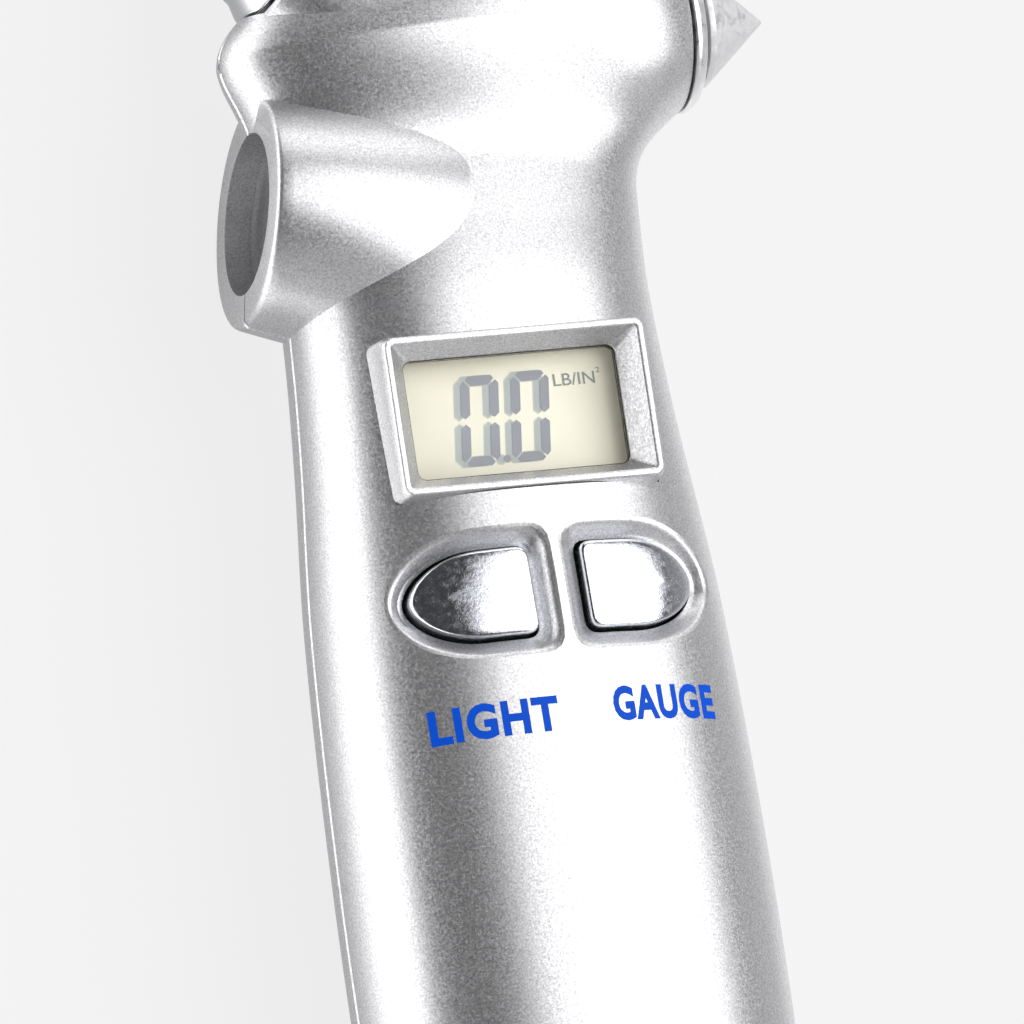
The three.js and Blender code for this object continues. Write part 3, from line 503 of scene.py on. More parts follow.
cell = {"radius": 5.25, "length": 44.5, "pitch": 11.2, "spring": 2.2, "slack": 2.3, "headY": -51.5}
roomLength = cell["length"] + cell["spring"] + cell["slack"]
footY = cell["headY"] - roomLength
roomHalf = cell["pitch"] / 2 + cell["radius"] + 0.85
screwPlaces = [
    (5.5, form["headAxisY"] + 4.2), (waistHalf - 5.2, 20.0), (6.2 - gripHalf, -40.0), (gripHalf - 6.2, -40.0),
    (0.0, (footY - form["gripReach"]) / 2 + 2),
]
screw = {"seat": -5.5, "head": 2.5, "shank": 1.1, "length": 9.0, "boss": 3.5, "bossLow": -7.6,
         "bossLength": 7.2, "sink": 2.8, "sinkDepth": 5.2}
cellFloor = form["shellWall"] + 0.7 - partingHeight
ceiling = cellFloor + 2 * cell["radius"] + 0.5


def nozzleBoss(side):
    radius, root = nozzle["baseRadius"], nozzle["bossRoot"]
    profile = [(0, -root), (nozzle["bossRadius"], -root), (radius + 0.7, -0.35), (radius + 0.45, -0.09),
               (radius + 0.2, 0), (0, 0)]
    boss = spun("boss", profile, nozzle["base"], nozzleOut)
    reach = 60
    low, high = (seamHalf, reach) if side > 0 else (-reach, -seamHalf)
    boolean(boss, block("half", (-reach, -reach, low), (reach, 2 * reach, high)), "INTERSECT")
    return boss


def commonCuts(shell, side):
    # the hollow of the shell, and the holes for the torch, the hammer's shank and the nozzle
    gap, inside = nozzle["gap"], nozzle["base"] - nozzleOut * 12
    shankStart = (form["headRight"] - 12, form["headAxisY"], 0)
    join(shell, nozzleBoss(side))
    cut(shell, innerBody("inner", side, form["shellWall"]))
    for start, direction, radius, length in (
            (torch["face"] - torchIn * 2, torchIn, torch["bore"], 18.5),
            (shankStart, headRightward, hammer["shank"] + hammer["gap"], 14),
            (inside, nozzleOut, nozzle["stem"] + gap, 22),
            (nozzle["base"], nozzleOut, nozzle["baseRadius"] + gap, 12),
            (inside, nozzleOut, nozzle["nutRadius"] + gap, 7.2)):
        cut(shell, rod("hole", start, direction, radius, length))


def frontShell():
    shell = halfBody("front_casing", 1)
    join(shell, torchHousing("housing", 1))
    commonCuts(shell, 1)
    w, h = bezel["width"] / 2 + 0.2, bezel["height"] / 2 + 0.2
    cut(shell, block("displayHole", (-w, -h, 3), (w, h, 20)))
    join(shell, bezelFrame("displayFrame"))
    for side in (-1, 1):
        cut(shell, wellCutter("well", side))
    shadeByAngle(shell)
    smoothOuter(shell)
    return shell


door = {"gap": 0.3, "sink": 0.15, "thickness": 2.06, "tabs": (-2.2, 2.2), "tabHalf": 1.4, "tabThickness": 0.8,
        "tabFloor": form["shellWall"] + 0.4 - partingHeight, "tabReach": 1.6, "roomWall": 1.4,
        "grooves": 6, "grooveStep": 1.9, "grooveRadius": 0.62, "grooveHalf": 6.5}


def rearShell():
    shell = halfBody("rear_casing", -1)
    join(shell, torchHousing("housing", -1))
    commonCuts(shell, -1)
    wall = door["roomWall"]
    room = block("room", (-roomHalf - wall, footY - wall, -partingHeight + 0.6),
                 (roomHalf + wall, cell["headY"] + wall, ceiling + wall))
    boolean(room, innerBody("roomLimit", -1, 0.6), "INTERSECT")
    join(shell, room)
    cut(shell, block("void", (-roomHalf, footY, -40), (roomHalf, cell["headY"], ceiling)))
    for x in door["tabs"]:
        slot = door["tabHalf"] + door["gap"]
        cut(shell, block("slot", (x - slot, footY - wall - door["gap"], door["tabFloor"] - 0.5),
                         (x + slot, footY + 0.1, door["tabFloor"] + 2.0)))
    for x, y in screwPlaces:
        join(shell, rod("boss", (x, y, screw["bossLow"]), upward, screw["boss"], screw["bossLength"], 40))
        cut(shell, rod("seat", (x, y, -20), upward, screw["sink"], 20 - screw["sinkDepth"], 48))
    shadeByAngle(shell)
    smoothOuter(shell)
    return shell


# ---------- materials ----------
def nodeMaterial(name):
    material = bpy.data.materials.new(name)
    material.use_nodes = True
    tree = material.node_tree
    shader = tree.nodes["Principled BSDF"]
    return material, tree, shader


def addNode(tree, kind, **values):
    node = tree.nodes.new(kind)
    for key, value in values.items():
        if key in node.inputs:
            node.inputs[key].default_value = value
        else:
            setattr(node, key, value)
    return node


def objectNoise(tree, scale, detail=2.0, roughness=0.5):
    place = tree.nodes.new("ShaderNodeTexCoord")
    noise = addNode(tree, "ShaderNodeTexNoise", Scale=scale, Detail=detail, Roughness=roughness)
    tree.links.new(place.outputs["Object"], noise.inputs["Vector"])
    return noise.outputs["Fac"]


def ramp(tree, source, low, high, colourLow, colourHigh):
    node = tree.nodes.new("ShaderNodeValToRGB")
    node.color_ramp.elements[0].position, node.color_ramp.elements[1].position = low, high
    node.color_ramp.elements[0].color = (*colourLow, 1)
    node.color_ramp.elements[1].color = (*colourHigh, 1)
    tree.links.new(source, node.inputs["Fac"])
    return node.outputs["Color"]


def addBump(tree, shader, height, strength, distance):
    bump = addNode(tree, "ShaderNodeBump", Strength=strength, Distance=distance)
    tree.links.new(height, bump.inputs["Height"])
    tree.links.new(bump.outputs["Normal"], shader.inputs["Normal"])


def silverPaint():
    # aluminium flake paint: fine bright and dark flakes, each tilted a little its own way
    material, tree, shader = nodeMaterial("silverPaint")
    flakes = objectNoise(tree, 5200, 1.0, 0.6)
    tone = ramp(tree, flakes, 0.3, 0.72, (0.50, 0.50, 0.515), (0.80, 0.80, 0.81))
    tree.links.new(tone, shader.inputs["Base Color"])
    shader.inputs["Metallic"].default_value = 0.86
    rough = ramp(tree, objectNoise(tree, 3800, 1.0), 0.3, 0.7, (0.30, 0.30, 0.30), (0.44, 0.44, 0.44))
    tree.links.new(rough, shader.inputs["Roughness"])
    addBump(tree, shader, objectNoise(tree, 4600, 1.5, 0.6), 0.16, 0.00004)
    shader.inputs["Coat Weight"].default_value = 0.25
    shader.inputs["Coat Roughness"].default_value = 0.16
    return material


def brightMetal(name, colour, roughness, waviness=0.03):
    material, tree, shader = nodeMaterial(name)
    shader.inputs["Base Color"].default_value = (*colour, 1)
    shader.inputs["Metallic"].default_value = 1.0
    smear = ramp(tree, objectNoise(tree, 900, 4.0, 0.7), 0.35, 0.75, (roughness,) * 3, (roughness * 2.6,) * 3)
    tree.links.new(smear, shader.inputs["Roughness"])
    addBump(tree, shader, objectNoise(tree, 420, 3.0, 0.6), waviness, 0.0002)
    return material


def buttonChrome():
    # bright plating that has dulled in fine short scratches and spots
    material, tree, shader = nodeMaterial("buttonChrome")
    shader.inputs["Metallic"].default_value = 0.93
    specks = objectNoise(tree, 3600, 3.0, 0.75)
    tone = ramp(tree, specks, 0.32, 0.66, (0.55, 0.57, 0.64), (0.86, 0.87, 0.91))
    tree.links.new(tone, shader.inputs["Base Color"])
    rough = ramp(tree, objectNoise(tree, 1500, 3.0, 0.7), 0.35, 0.7, (0.08, 0.08, 0.08), (0.30, 0.30, 0.30))
    tree.links.new(rough, shader.inputs["Roughness"])
    addBump(tree, shader, specks, 0.22, 0.00006)
    return material


def plastic(name, colour, roughness=0.45, grain=0.08, gloss=0.5):
    material, tree, shader = nodeMaterial(name)
    tone = ramp(tree, objectNoise(tree, 300, 3.0), 0.2, 0.8, tuple(c * 0.93 for c in colour), colour)
    tree.links.new(tone, shader.inputs["Base Color"])
    shader.inputs["Roughness"].default_value = roughness
    shader.inputs["Specular IOR Level"].default_value = gloss
    addBump(tree, shader, objectNoise(tree, 2500, 2.0), grain, 0.00005)
    return material


def clearPlastic(name, tint=(0.97, 0.98, 0.98), alpha=None):
    # a thin clear plate lets light straight through (alpha); a thick one bends it
    material, tree, shader = nodeMaterial(name)
    shader.inputs["Base Color"].default_value = (*tint, 1)
    shader.inputs["IOR"].default_value = 1.49
    shader.inputs["Roughness"].default_value = 0.02
    if alpha is None:
        shader.inputs["Transmission Weight"].default_value = 1.0
    else:
        shader.inputs["Alpha"].default_value = alpha
    return material


silver = silverPaint()
chromeFinish = brightMetal("chromePlate", (0.80, 0.81, 0.83), 0.045)
steelFinish = brightMetal("turnedSteel", (0.60, 0.60, 0.61), 0.22, 0.06)
mirrorFinish = brightMetal("mirrorCup", (0.90, 0.90, 0.91), 0.05)
nickelFinish = brightMetal("nickelPlate", (0.62, 0.59, 0.53), 0.25)
creamFinish = plastic("displayCream", (0.98, 0.95, 0.78), 0.35, 0.0)
creamShader = creamFinish.node_tree.nodes["Principled BSDF"]
# painted light: the cream panel glows faintly though an LCD gives no light, to brighten it in its recess
creamShader.inputs["Emission Color"].default_value = (0.98, 0.95, 0.76, 1)
creamShader.inputs["Emission Strength"].default_value = 0.13
whiteFinish = plastic("whitePlastic", (0.80, 0.80, 0.77))
rubberFinish = plastic("blackRubber", (0.025, 0.025, 0.026), 0.75, 0.2)
blackFinish = plastic("blackPlastic", (0.02, 0.02, 0.022), 0.4)
boardFinish = plastic("boardGreen", (0.02, 0.16, 0.06), 0.35)
greyFinish = plastic("sensorGrey", (0.30, 0.31, 0.32), 0.5)
redFinish = plastic("redCovering", (0.5, 0.02, 0.02), 0.4)
sleeveFinish = plastic("cellSleeve", (0.03, 0.08, 0.32), 0.25, 0.0)
clearFinish = clearPlastic("clearPlastic")
windowFinish = clearPlastic("windowPlastic", (0.9, 0.9, 0.88), 0.04)
torchGlass = clearPlastic("torchGlass", (0.75, 0.76, 0.78), 0.12)
bulbFinish = clearPlastic("bulbResin", (0.95, 0.95, 0.97))
glossBlack = plastic("glossBlack", (0.01, 0.01, 0.011), 0.12, 0.0)
# painted shadow of the digits on the cream panel: a soft pale fringe and a darker blue-grey core
paintedShadowFringe = plastic("digitPaintedShadowFringe", (0.72, 0.72, 0.62), 0.4, 0.0)
shadeFinish = plastic("digitShade", (0.53, 0.60, 0.58), 0.4, 0.0)
segmentFinish = plastic("digitInk", (0.33, 0.35, 0.40), 0.35, 0.0)
unitFinish = plastic("unitInk", (0.28, 0.33, 0.31), 0.4, 0.0)
printFinish = plastic("bluePrint", (0.001, 0.085, 0.66), 0.5, 0.0, 0.12)
collarFinish = brightMetal("satinCollar", (0.88, 0.88, 0.89), 0.24, 0.02)
pointFinish = brightMetal("satinPoint", (0.80, 0.80, 0.81), 0.42, 0.05)
buttonFinish = buttonChrome()

nodeFinish = {
    "silver_paint": silver, "chrome_plate": chromeFinish, "steel": steelFinish, "clear_plastic": clearFinish,
    "display_cream": creamFinish, "white_plastic": whiteFinish, "black_rubber": rubberFinish,
    "board_green": boardFinish, "black_plastic": blackFinish, "cell_sleeve": sleeveFinish,
    "nickel": nickelFinish, "lead_red": redFinish, "reflector": mirrorFinish, "sensor_grey": greyFinish,
}
for row in frame["record"]["subparts"]:
    obj = nodes[row["node"]]
    obj.data.materials.clear()
    obj.data.materials.append(nodeFinish[row["material_slot"]])
print("materials done")

settle(frontShell(), "casing", silver, "silver_paint", "front_shell")
settle(rearShell(), "casing", silver, "silver_paint", "rear_shell")
for word, side in (("light", -1), ("gauge", 1)):
    key = buttonPiece(f"{word}_key_top", side)
    shadeByAngle(key, 50)
    settle(key, f"{word}_key", buttonFinish, "chrome_plate", f"{word}_button")
print("casing done")


# ---------- battery door ----------
def batteryDoor():
    leaf = halfBody("door_leaf", -1, door["sink"])
    cut(leaf, innerBody("under", -1, door["sink"] + door["thickness"]))
    half, head, foot = roomHalf - door["gap"], cell["headY"] - door["gap"], footY + door["gap"]
    outline = roundedRing(half, (head - foot) / 2, 1.2, -20)
    bm = bmesh.new()
    centre = Vector((0, (head + foot) / 2, 0))
    bridgeRings(bm, [[point + centre + upward * lift for point in outline] for lift in (0, 14)])
    boolean(leaf, newObject("outline", bm), "INTERSECT")
    for x in door["tabs"]:
        low, high = x - door["tabHalf"], x + door["tabHalf"]
        floor = door["tabFloor"]
        join(leaf, block("tab", (low, foot - door["tabReach"], floor),
                         (high, foot + 0.3, floor + door["tabThickness"])))
        join(leaf, block("root", (low, foot, floor - 1.2), (high, foot + 0.3, floor + 0.5)))
    notch = rod("notch", (0, head + 3.2, -20), upward, 4.6, 8.3)
    cut(leaf, notch)
    for i in range(door["grooves"]):
        y = head - 4 - door["grooveStep"] * i
        groove = rod("groove", (-door["grooveHalf"], y, -partingHeight - 0.2), headRightward,
                     door["grooveRadius"], 2 * door["grooveHalf"], 24)
        cut(leaf, groove)
    shadeByAngle(leaf)
    return leaf


settle(batteryDoor(), "door", silver, "silver_paint", "battery_door")


def turned(name, profile, start, direction, material, slot, nodes=(), rounding=0.0, steps=96):
    shape = roundCorners(profile, rounding) if rounding else profile
    obj = spun(name, shape, start, direction, steps)
    shadeByAngle(obj, 35)
    settle(obj, "casing", material, slot, *nodes)


# ---------- nozzle ----------
nozzleEnd, stemEnd = nozzle["length"], -nozzle["stemDepth"]
mouth = nozzleEnd - nozzle["mouthDepth"]
stem, base, lip, bore = nozzle["stem"], nozzle["baseRadius"], nozzle["lipRadius"], nozzle["bore"]
airBore, barb, waist = 0.9, 2.4, 6.1
bodyProfile = [
    (airBore, stemEnd), (barb, stemEnd), (barb, stemEnd + 2.6), (stem, stemEnd + 3.2), (stem, nozzle["gap"]),
    (base, nozzle["gap"]), (base, 1.2), (waist, 2.7), (waist, 3.3), (lip, 5), (lip, nozzleEnd - 0.5),
    (lip - 0.5, nozzleEnd), (bore, nozzleEnd), (bore, mouth), (airBore, mouth), (airBore, stemEnd + 0.01),
]
sealLow = mouth + nozzle["gap"]
sealOuter, sealInner, sealTop = bore - 0.2, 1.9, sealLow + 2.2
sealProfile = [(sealInner, sealLow), (sealOuter, sealLow), (sealOuter, sealTop), (sealInner + 0.7, sealTop),
               (sealInner, sealTop - 0.6), (sealInner, sealLow + 0.01)]
pinFoot, pinRadius, pinTop = 1.55, 0.7, sealLow + 3.1
pinProfile = [(0, sealLow), (pinFoot, sealLow), (pinFoot, sealLow + 0.7), (pinRadius, sealLow + 0.7),
              (pinRadius, pinTop - 0.4), (pinRadius - 0.25, pinTop), (0, pinTop)]
for name, profile, finish, slot, node, rounding in (
        ("nozzle_shape", bodyProfile, chromeFinish, "chrome_plate", "nozzle_body", 0.3),
        ("nozzle_washer", sealProfile, rubberFinish, "black_rubber", "nozzle_seal", 0.15),
        ("nozzle_pin", pinProfile, steelFinish, "steel", "valve_pin", 0.12)):
    turned(name, profile, nozzle["base"], nozzleOut, finish, slot, [node], rounding)

# ---------- hammer ----------
collarStart = form["headRight"] + hammer["gap"]
tipStart = collarStart + hammer["collar"] + 0.4
shankEnd = form["headRight"] - 8 - tipStart
axisStart = Vector((0, form["headAxisY"], 0))
shank, coneBase, point, shoulder = hammer["shank"], hammer["base"], hammer["point"], hammer["shoulder"]
coneProfile = [(0, shankEnd), (shank, shankEnd), (shank, -shoulder), (coneBase, -shoulder), (coneBase, -0.05),
               (0.32, point - 0.3), (0.0, point)]
turned("hammer_cone", coneProfile, axisStart + headRightward * tipStart, headRightward,
       pointFinish, "steel", ["hammer_tip"], 0.12)
collarBore, collarTop = shank + hammer["gap"], hammer["collar"] - shoulder - hammer["gap"]
endRadius = form["headEndRadius"]
collarProfile = [(collarBore, 0.0), (endRadius, 0.0), (endRadius, 0.5), (endRadius - 0.5, 1.25),
                 (endRadius - 1.4, collarTop), (collarBore, collarTop), (collarBore, 0.01)]
turned("hammer_ring", collarProfile, axisStart + headRightward * collarStart, headRightward,
       collarFinish, "chrome_plate", ["hammer_collar"], 0.2)

# ---------- torch ----------
lens = {"inset": 1.9, "thickness": 1.3, "fit": torch["bore"] - 0.25, "dome": 0.45, "gap": 0.3, "ring": 0.9,
        "ringBore": 6.4, "cup": 7.2, "cupMouth": 6.7, "led": 2.5, "ledCollar": 0.5}
fit, led, gap = lens["fit"], lens["led"], lens["gap"]
front, back = lens["inset"], lens["inset"] + lens["thickness"]
glass = [(fit * share, front + 0.45 - lens["dome"] * (1 - share ** 2)) for share in np.linspace(0, 0.93, 9)]
glass += [(fit * 0.95, front + 0.45), (fit, front + 0.5), (fit, back), (0, back)]
ringLow, ringBore = back + gap, lens["ringBore"]
ringHigh = ringLow + lens["ring"]
ring = [(ringBore, ringLow), (fit, ringLow), (fit, ringHigh), (ringBore, ringHigh), (ringBore, ringLow + 0.01)]
cupLow, cupMouth = ringHigh + gap, lens["cupMouth"]
cup = [(cupMouth - (cupMouth - led - 0.4) * share ** 2, cupLow + lens["cup"] * share)
       for share in np.linspace(0, 1, 25)]
cupBack = [(min(radius + 0.6, fit), place) for radius, place in reversed(cup)]
cupBack[-1] = (fit, cupLow)
cup += cupBack + [(cupMouth + 0.01, cupLow)]
ledTip, ledEnd, collar = cupLow + 3, cupLow + lens["cup"] + 1.2, led + lens["ledCollar"]
bulb = [(led * math.sin(a), ledTip + led * (1 - math.cos(a))) for a in np.linspace(0, math.pi / 2, 13)]
bulb += [(led, ledEnd - 0.9), (collar, ledEnd - 0.9), (collar, ledEnd), (0, ledEnd)]
for name, profile, finish, slot, node, rounding in (
        ("torch_glass", glass, torchGlass, "clear_plastic", "torch_lens", 0.0),
        ("torch_gasket", ring, rubberFinish, "black_rubber", "torch_seal", 0.1),
        ("torch_cup", cup, mirrorFinish, "reflector", "torch_reflector", 0.0),
        ("torch_bulb", bulb, bulbFinish, "clear_plastic", "torch_led", 0.0)):
    turned(name, profile, torch["face"], torchIn, finish, slot, [node], rounding)
print("turned pieces done")

# ---------- display ----------
lcd = {"windowTop": 9.6, "windowThickness": 0.9, "panelTop": 8.4, "panelThickness": 2.2, "gap": 0.3,
       "digitWidth": 3.67, "digitHeight": 8.4, "stroke": 0.9, "mitre": 0.09, "lean": 0.12, "shadow": 0.62,
       "digits": ((-2.89, -0.07), (1.95, -0.02)), "point": (-0.85, -3.8), "pointRadius": 0.36}
plateHalf = (bezel["windowWidth"] / 2 + 1.1 - lcd["gap"], bezel["windowHeight"] / 2 + 1.1 - lcd["gap"])


def roundedSlab(name, halfWidth, halfHeight, low, high, corner=0.5, ease=0.08):
    bm = bmesh.new()
    rings = [(halfWidth - ease, halfHeight - ease, low), (halfWidth, halfHeight, low + ease),
             (halfWidth, halfHeight, high - ease), (halfWidth - ease, halfHeight - ease, high)]
    bridgeRings(bm, [roundedRing(w, h, corner, z) for w, h, z in rings])
    obj = newObject(name, bm)
    shadeByAngle(obj, 50)
    return obj


settle(roundedSlab("window_plate", *plateHalf, lcd["windowTop"] - lcd["windowThickness"], lcd["windowTop"]),
       "casing", windowFinish, "clear_plastic", "display_window")
settle(roundedSlab("lcd_glass", *plateHalf, lcd["panelTop"] - lcd["panelThickness"], lcd["panelTop"] - 0.1),
       "casing", creamFinish, "display_cream", "display_panel")


def gasket(name):
    w, h = bezel["windowWidth"] / 2, bezel["windowHeight"] / 2
    foot = lcd["windowTop"] + 0.06
    sections = [(w - 0.02, h - 0.02, 0.83, windowPlane - 0.18), (w - 0.02, h - 0.02, 0.83, foot),
                (w - 0.1, h - 0.1, 0.76, foot), (w - 0.08, h - 0.08, 0.78, windowPlane - 0.24)]
    bm = bmesh.new()
    bridgeRings(bm, [roundedRing(*section) for section in sections], closed=True)
    obj = newObject(name, bm)
    shadeByAngle(obj, 40)
    return obj


settle(gasket("window_gasket"), "casing", glossBlack, "black_plastic")


def flatShapes(name, outlines, low, high, material, slot):
    # thin flat shapes, printed marks and painted shadows: each outline becomes a low prism
    bm = bmesh.new()
    for outline in outlines:
        floor = [bm.verts.new((x, y, low)) for x, y in outline]
        face = bmesh.ops.contextual_create(bm, geom=floor)["faces"]
        raised = bmesh.ops.extrude_face_region(bm, geom=face)["geom"]
        top = [item for item in raised if isinstance(item, bmesh.types.BMVert)]
        bmesh.ops.translate(bm, vec=(0, 0, high - low), verts=top)
    bmesh.ops.recalc_face_normals(bm, faces=bm.faces)
    settle(newObject(name, bm), "casing", material, slot)


def digitOutlines(centre, grow=0.0, shift=0.0):
    # the six lit bars of a nought, with slanted gaps between them
    w, h, t, m = lcd["digitWidth"] / 2, lcd["digitHeight"] / 2, lcd["stroke"], lcd["mitre"]
    bars = []
    for up in (1, -1):
        profile = ((t * 0.42 + m, h - t * 0.36), (t * 0.75 + m, h), (t + m * 1.6, h - t))
        (endX, endY), (outX, outY), (inX, inY) = profile
        bars.append([(-w + endX, up * endY), (-w + outX, up * outY), (w - outX, up * outY),
                     (w - endX, up * endY), (w - inX, up * inY), (-w + inX, up * inY)])
        for right in (1, -1):
            bars.append([(right * w, up * (h - t * 0.9)),
                         (right * (w - t * 0.34), up * (h - t * 0.36 - m * 1.4)),
                         (right * (w - t), up * (h - t - m * 1.6)), (right * (w - t), up * 0.62),
                         (right * (w - t * 0.5), up * 0.24), (right * w, up * 0.62)])
    placed = []
    for bar in bars:
        middle = Vector((sum(x for x, y in bar) / len(bar), sum(y for x, y in bar) / len(bar)))
        points = []
        for x, y in bar:
            away = (Vector((x, y)) - middle)
            x, y = Vector((x, y)) + away.normalized() * grow
            points.append((centre[0] + x + lcd["lean"] * y + shift, centre[1] + y))
        placed.append(points)
    return placed


def disc(centre, radius, shift=0.0, steps=24):
    return [(centre[0] + shift + radius * math.cos(k / steps * 2 * math.pi),
             centre[1] + radius * math.sin(k / steps * 2 * math.pi)) for k in range(steps)]


def litShapes(grow, shift):
    shapes = [bar for centre in lcd["digits"] for bar in digitOutlines(centre, grow, shift)]
    return shapes + [disc(lcd["point"], lcd["pointRadius"] + grow, shift)]


printHeight = lcd["panelTop"] - 0.1
inkThickness = 0.006
# painted shadows of the digits: a wider pale fringe and a darker core, shifted left of the bars onto the
# cream; then the bars themselves
for word, grow, shift, low, tone in (("painted_shadow_fringe", 0.16, -lcd["shadow"], 0.003, paintedShadowFringe),
                                     ("shade", 0.0, -lcd["shadow"] * 0.94, 0.012, shadeFinish),
                                     ("bars", 0.0, 0.0, 0.05, segmentFinish)):
    low += printHeight
    flatShapes(f"digit_{word}", litShapes(grow, shift), low, low + inkThickness, tone, "display_cream")


# ---------- lettering ----------
def lettering(name, words, centre, width, height, boldness, material, slot, surface, spacing=1.0):
    curve = bpy.data.curves.new(name, "FONT")
    curve.body = words
    curve.extrude = 0.5
    curve.offset = boldness
    curve.space_character = spacing
    curve.resolution_u = 4
    holder = bpy.data.objects.new(name, curve)
    bpy.context.scene.collection.objects.link(holder)
    graph = bpy.context.evaluated_depsgraph_get()
    mesh = bpy.data.meshes.new_from_object(holder.evaluated_get(graph))
    bpy.data.objects.remove(holder)
    bm = bmesh.new()
    bm.from_mesh(mesh)
    bpy.data.meshes.remove(mesh)
    bmesh.ops.remove_doubles(bm, verts=bm.verts, dist=1e-5)
    xs, ys = [v.co.x for v in bm.verts], [v.co.y for v in bm.verts]
    middleX, middleY = (min(xs) + max(xs)) / 2, (min(ys) + max(ys)) / 2
    scaleX, scaleY = width / (max(xs) - min(xs)), height / (max(ys) - min(ys))
    for vert in bm.verts:
        y = (vert.co.y - middleY) * scaleY
        vert.co.x = centre[0] + (vert.co.x - middleX) * scaleX
        vert.co.y = centre[1] + y
    if surface == "front":
        for k in range(1, int(width / 0.5)):
            place = centre[0] - width / 2 + 0.5 * k
            bmesh.ops.bisect_plane(bm, geom=bm.verts[:] + bm.edges[:] + bm.faces[:],
                                   plane_co=(place, 0, 0), plane_no=(1, 0, 0))
        heights = frontHeight([v.co.x for v in bm.verts], [v.co.y for v in bm.verts])
        low, high = -0.05, 0.012
    else:
        heights = [surface] * len(bm.verts)
        low, high = 0.0, inkThickness
    for vert, level in zip(bm.verts, heights):
        vert.co.z = level + (high if vert.co.z > 0 else low)
    bmesh.ops.recalc_face_normals(bm, faces=bm.faces)
    settle(newObject(name, bm), "casing", material, slot)


label = (printFinish, "cell_sleeve", "front")
lettering("label_light", "LIGHT", (-7.35, -28.9), 11.6, 3.35, 0.042, *label, 1.12)
lettering("label_gauge", "GAUGE", (9.05, -28.5), 10.6, 3.3, 0.042, *label, 1.1)
unit = (unitFinish, "display_cream", printHeight + 0.05)
lettering("unit_mark", "LB/IN", (6.58, 3.1), 3.97, 1.15, 0.004, *unit)
lettering("unit_power", "2", (8.95, 3.75), 0.34, 0.5, 0.0, *unit)
print("display done")

# ---------- screws and cells ----------
for i, (x, y) in enumerate(screwPlaces):
    head, shank, length = screw["head"], screw["shank"], screw["length"]
    obj = spun(f"screw_{i + 1}", roundCorners([(0, -1.7), (1.9, -1.7), (head, -1.1), (head, 0), (shank, 0),
                                               (shank, length - 0.8), (0.2, length), (0, length)], 0.25),
               (x, y, screw["seat"]), upward, 40)
    low, high = screw["seat"] - 2.2, screw["seat"] - 0.9
    for w, h in ((1.35, 0.28), (0.28, 1.35)):
        cut(obj, block("cross", (x - w, y - h, low), (x + w, y + h, high)))
    shadeByAngle(obj, 35)
    settle(obj, "casing", steelFinish, "steel", f"shell_screw_{i + 1}")

cellZ = cellFloor + cell["radius"]
contactGap = 0.3 + 0.4 + 0.3
cellStarts = ((-cell["pitch"] / 2, cell["headY"] - contactGap - cell["length"], 1),
              (cell["pitch"] / 2, footY + contactGap + cell["length"], -1))
for i, (x, y, sign) in enumerate(cellStarts):
    radius, length, nub, nubRadius = cell["radius"], cell["length"], 0.8, 1.9
    start, cellDirection = Vector((x, y, cellZ)), Vector((0, sign, 0))
    sleeve = [(0, 0), (radius - 0.5, 0), (radius, 0.25), (radius, length - nub - 0.3),
              (radius - 0.6, length - nub), (0, length - nub)]
    turned(f"cell_{i + 1}", sleeve, start, cellDirection, sleeveFinish, "cell_sleeve",
           [f"battery_{i + 1}"], 0.3)
    cap = [(0, length - nub), (nubRadius, length - nub), (nubRadius, length - 0.2), (nubRadius - 0.3, length),
           (0, length)]
    turned(f"cell_cap_{i + 1}", cap, start, cellDirection, nickelFinish, "nickel", (), 0.2, 48)
print("screws and cells done")


# ---------- studio ----------
# A wide overhead softbox leans to the right, and a low strip stands on the left. Weaker lights stand past the
# head and the foot, and the paper under the tool is pale.
studio = {
    "dark": 0.0, "backdrop": 0.868,
    "overhead": 2.6, "overheadX": (-0.17, 1.7), "overheadY": (-1.35, 0.82), "overheadEdge": 0.12,
    "bend": 0.65, "bendMiddle": 0.2,
    "strip": 2.8, "stripRise": (-0.6, 0.32), "stripEdge": 0.1,
    "headSide": 1.9, "headSideRise": (0.12, 0.75), "footSide": 0.42,
    "horizon": 0.30, "paper": 0.42, "glow": 0.45, "glowReach": 0.06,
    "leftGlow": 1.7, "leftGlowReach": (-0.4, -0.045),
}


class Graph:
    # small wrapper that builds sums and products of numbers in a node tree
    def __init__(self, tree):
        self.tree = tree

    def math(self, operation, a, b=0.0):
        node = self.tree.nodes.new("ShaderNodeMath")
        node.operation = operation
        for i, value in enumerate((a, b)):
            if isinstance(value, (int, float)):
                node.inputs[i].default_value = value
            else:
                self.tree.links.new(value, node.inputs[i])
        return node.outputs[0]

    def plus(self, a, b):
        return self.math("ADD", a, b)

    def minus(self, a, b):
        return self.math("SUBTRACT", a, b)

    def times(self, a, b):
        return self.math("MULTIPLY", a, b)

    def over(self, a, b):
        return self.math("DIVIDE", a, b)

    def step(self, value, low, high):
        node = self.tree.nodes.new("ShaderNodeMapRange")
        node.interpolation_type = "SMOOTHSTEP"
        self.tree.links.new(value, node.inputs["Value"])
        node.inputs["From Min"].default_value, node.inputs["From Max"].default_value = low, high
        return node.outputs["Result"]

    def band(self, value, low, high, edge):
        rise = self.step(value, low - edge, low + edge)
        fall = self.minus(1.0, self.step(value, high - edge, high + edge))
        return self.times(rise, fall)


def seenAs(tree, light, shown, socket):
    # the camera sees one even value, and everything else is lit by the other
    mix = tree.nodes.new("ShaderNodeMix")
    mix.data_type = "FLOAT"
    tree.links.new(tree.nodes.new("ShaderNodeLightPath").outputs["Is Camera Ray"], mix.inputs["Factor"])
    tree.links.new(light, mix.inputs["A"])
    mix.inputs["B"].default_value = shown
    tree.links.new(mix.outputs["Result"], socket)


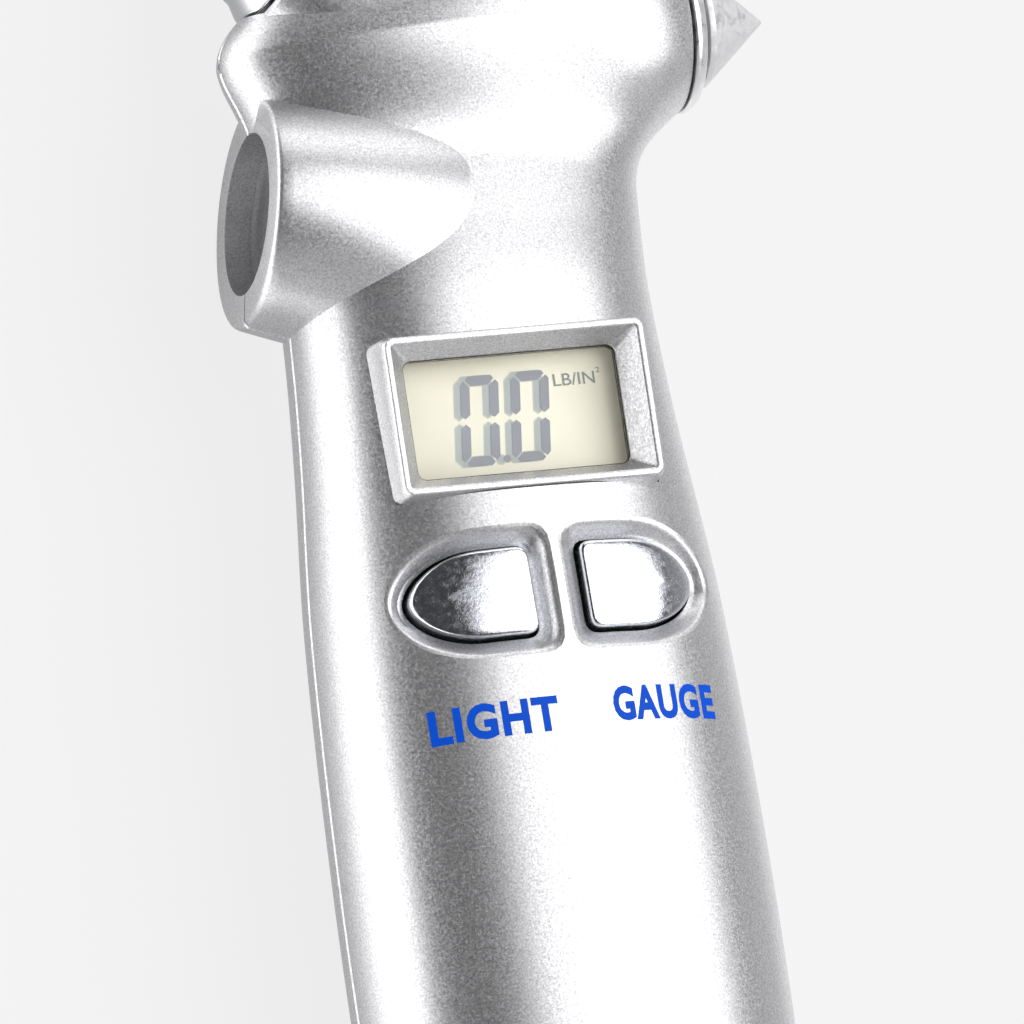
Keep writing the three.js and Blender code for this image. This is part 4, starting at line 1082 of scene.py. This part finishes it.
world = bpy.data.worlds.new("studioAir")
bpy.context.scene.world = world
world.use_nodes = True
tree = world.node_tree
graph = Graph(tree)
direction = tree.nodes.new("ShaderNodeTexCoord").outputs["Generated"]
parts = tree.nodes.new("ShaderNodeSeparateXYZ")
tree.links.new(direction, parts.inputs[0])
dx, dy, dz = parts.outputs
high = graph.math("MAXIMUM", dz, 0.02)
acrossX, acrossY = graph.over(dx, high), graph.over(dy, high)
offMiddle = graph.math("ABSOLUTE", graph.minus(acrossY, studio["bendMiddle"]))
bentX = graph.minus(acrossX, graph.times(offMiddle, studio["bend"]))
overhead = graph.times(graph.band(bentX, *studio["overheadX"], studio["overheadEdge"]),
                       graph.band(acrossY, *studio["overheadY"], studio["overheadEdge"]))
overhead = graph.times(overhead, graph.step(dz, 0.05, 0.2))
leftward = graph.math("MAXIMUM", graph.times(dx, -1.0), 0.02)
leftRise = graph.over(dz, leftward)
strip = graph.times(graph.band(leftRise, *studio["stripRise"], studio["stripEdge"]),
                    graph.step(leftward, 0.25, 0.55))
light = graph.plus(graph.times(overhead, studio["overhead"]), studio["dark"])
light = graph.plus(light, graph.times(strip, studio["strip"]))
headward = graph.math("MAXIMUM", dy, 0.02)
headRise = graph.over(dz, headward)
headSide = graph.times(graph.band(headRise, *studio["headSideRise"], 0.08),
                       graph.times(graph.step(headward, 0.55, 0.75), graph.step(dx, -0.25, 0.05)))
footSide = graph.times(graph.step(graph.times(dy, -1.0), 0.45, 0.75), graph.step(dz, -0.1, 0.15))
lowRight = graph.times(graph.minus(1.0, graph.step(dz, 0.05, 0.5)), graph.step(dx, -0.3, 0.4))
for glow, strength in ((footSide, "footSide"), (headSide, "headSide"), (lowRight, "horizon")):
    light = graph.plus(light, graph.times(glow, studio[strength]))
seenAs(tree, light, studio["backdrop"], tree.nodes["Background"].inputs["Strength"])
tree.nodes["Background"].inputs["Color"].default_value = (1.0, 0.995, 1.0, 1)

bm = bmesh.new()
bmesh.ops.create_grid(bm, x_segments=1, y_segments=1, size=3.0)
floor = newObject("floor", bm)
paper, tree, shader = nodeMaterial("floorPaper")
shader.inputs["Base Color"].default_value = (0.10, 0.10, 0.10, 1)
shader.inputs["Roughness"].default_value = 1.0
shader.inputs["Specular IOR Level"].default_value = 0.0
shader.inputs["Emission Color"].default_value = (1.0, 0.995, 1.0, 1)
graph = Graph(tree)
parts = tree.nodes.new("ShaderNodeSeparateXYZ")
tree.links.new(tree.nodes.new("ShaderNodeTexCoord").outputs["Object"], parts.inputs[0])
nearRight = graph.times(graph.band(parts.outputs[0], 0.0, studio["glowReach"], 0.02),
                        graph.band(parts.outputs[1], -0.15, 0.06, 0.03))
farLeft = graph.band(parts.outputs[0], *studio["leftGlowReach"], 0.02)
bounce = graph.plus(studio["paper"], graph.times(nearRight, studio["glow"]))
bounce = graph.plus(bounce, graph.times(farLeft, studio["leftGlow"]))
seenAs(tree, bounce, studio["backdrop"] - 0.06, shader.inputs["Emission Strength"])
floor.data.materials.append(paper)

# ---------- camera ----------
view = {"turn": 57.9, "height": 69.0, "roll": 51.1, "distance": 3.0, "span": 0.0931, "aim": (-2.5, -9.6, 12.4),
        "sensor": 36}
camera = bpy.data.objects.new("camera", bpy.data.cameras.new("camera"))
bpy.context.scene.collection.objects.link(camera)
turn, height = math.radians(view["turn"]), math.radians(view["height"])
back = Vector((-math.sin(turn) * math.cos(height), -math.cos(turn) * math.cos(height), math.sin(height)))
aim = toFrame @ Vector(view["aim"])
camera.location = aim + back * view["distance"]
roll = Matrix.Rotation(math.radians(view["roll"]), 3, "Z")
camera.rotation_euler = (back.to_track_quat("Z", "Y").to_matrix() @ roll).to_euler()
camera.data.sensor_width = view["sensor"]
camera.data.lens = view["sensor"] * view["distance"] / view["span"]
camera.data.clip_start = 0.01
bpy.context.scene.camera = camera
bpy.context.scene.view_settings.view_transform = "Standard"
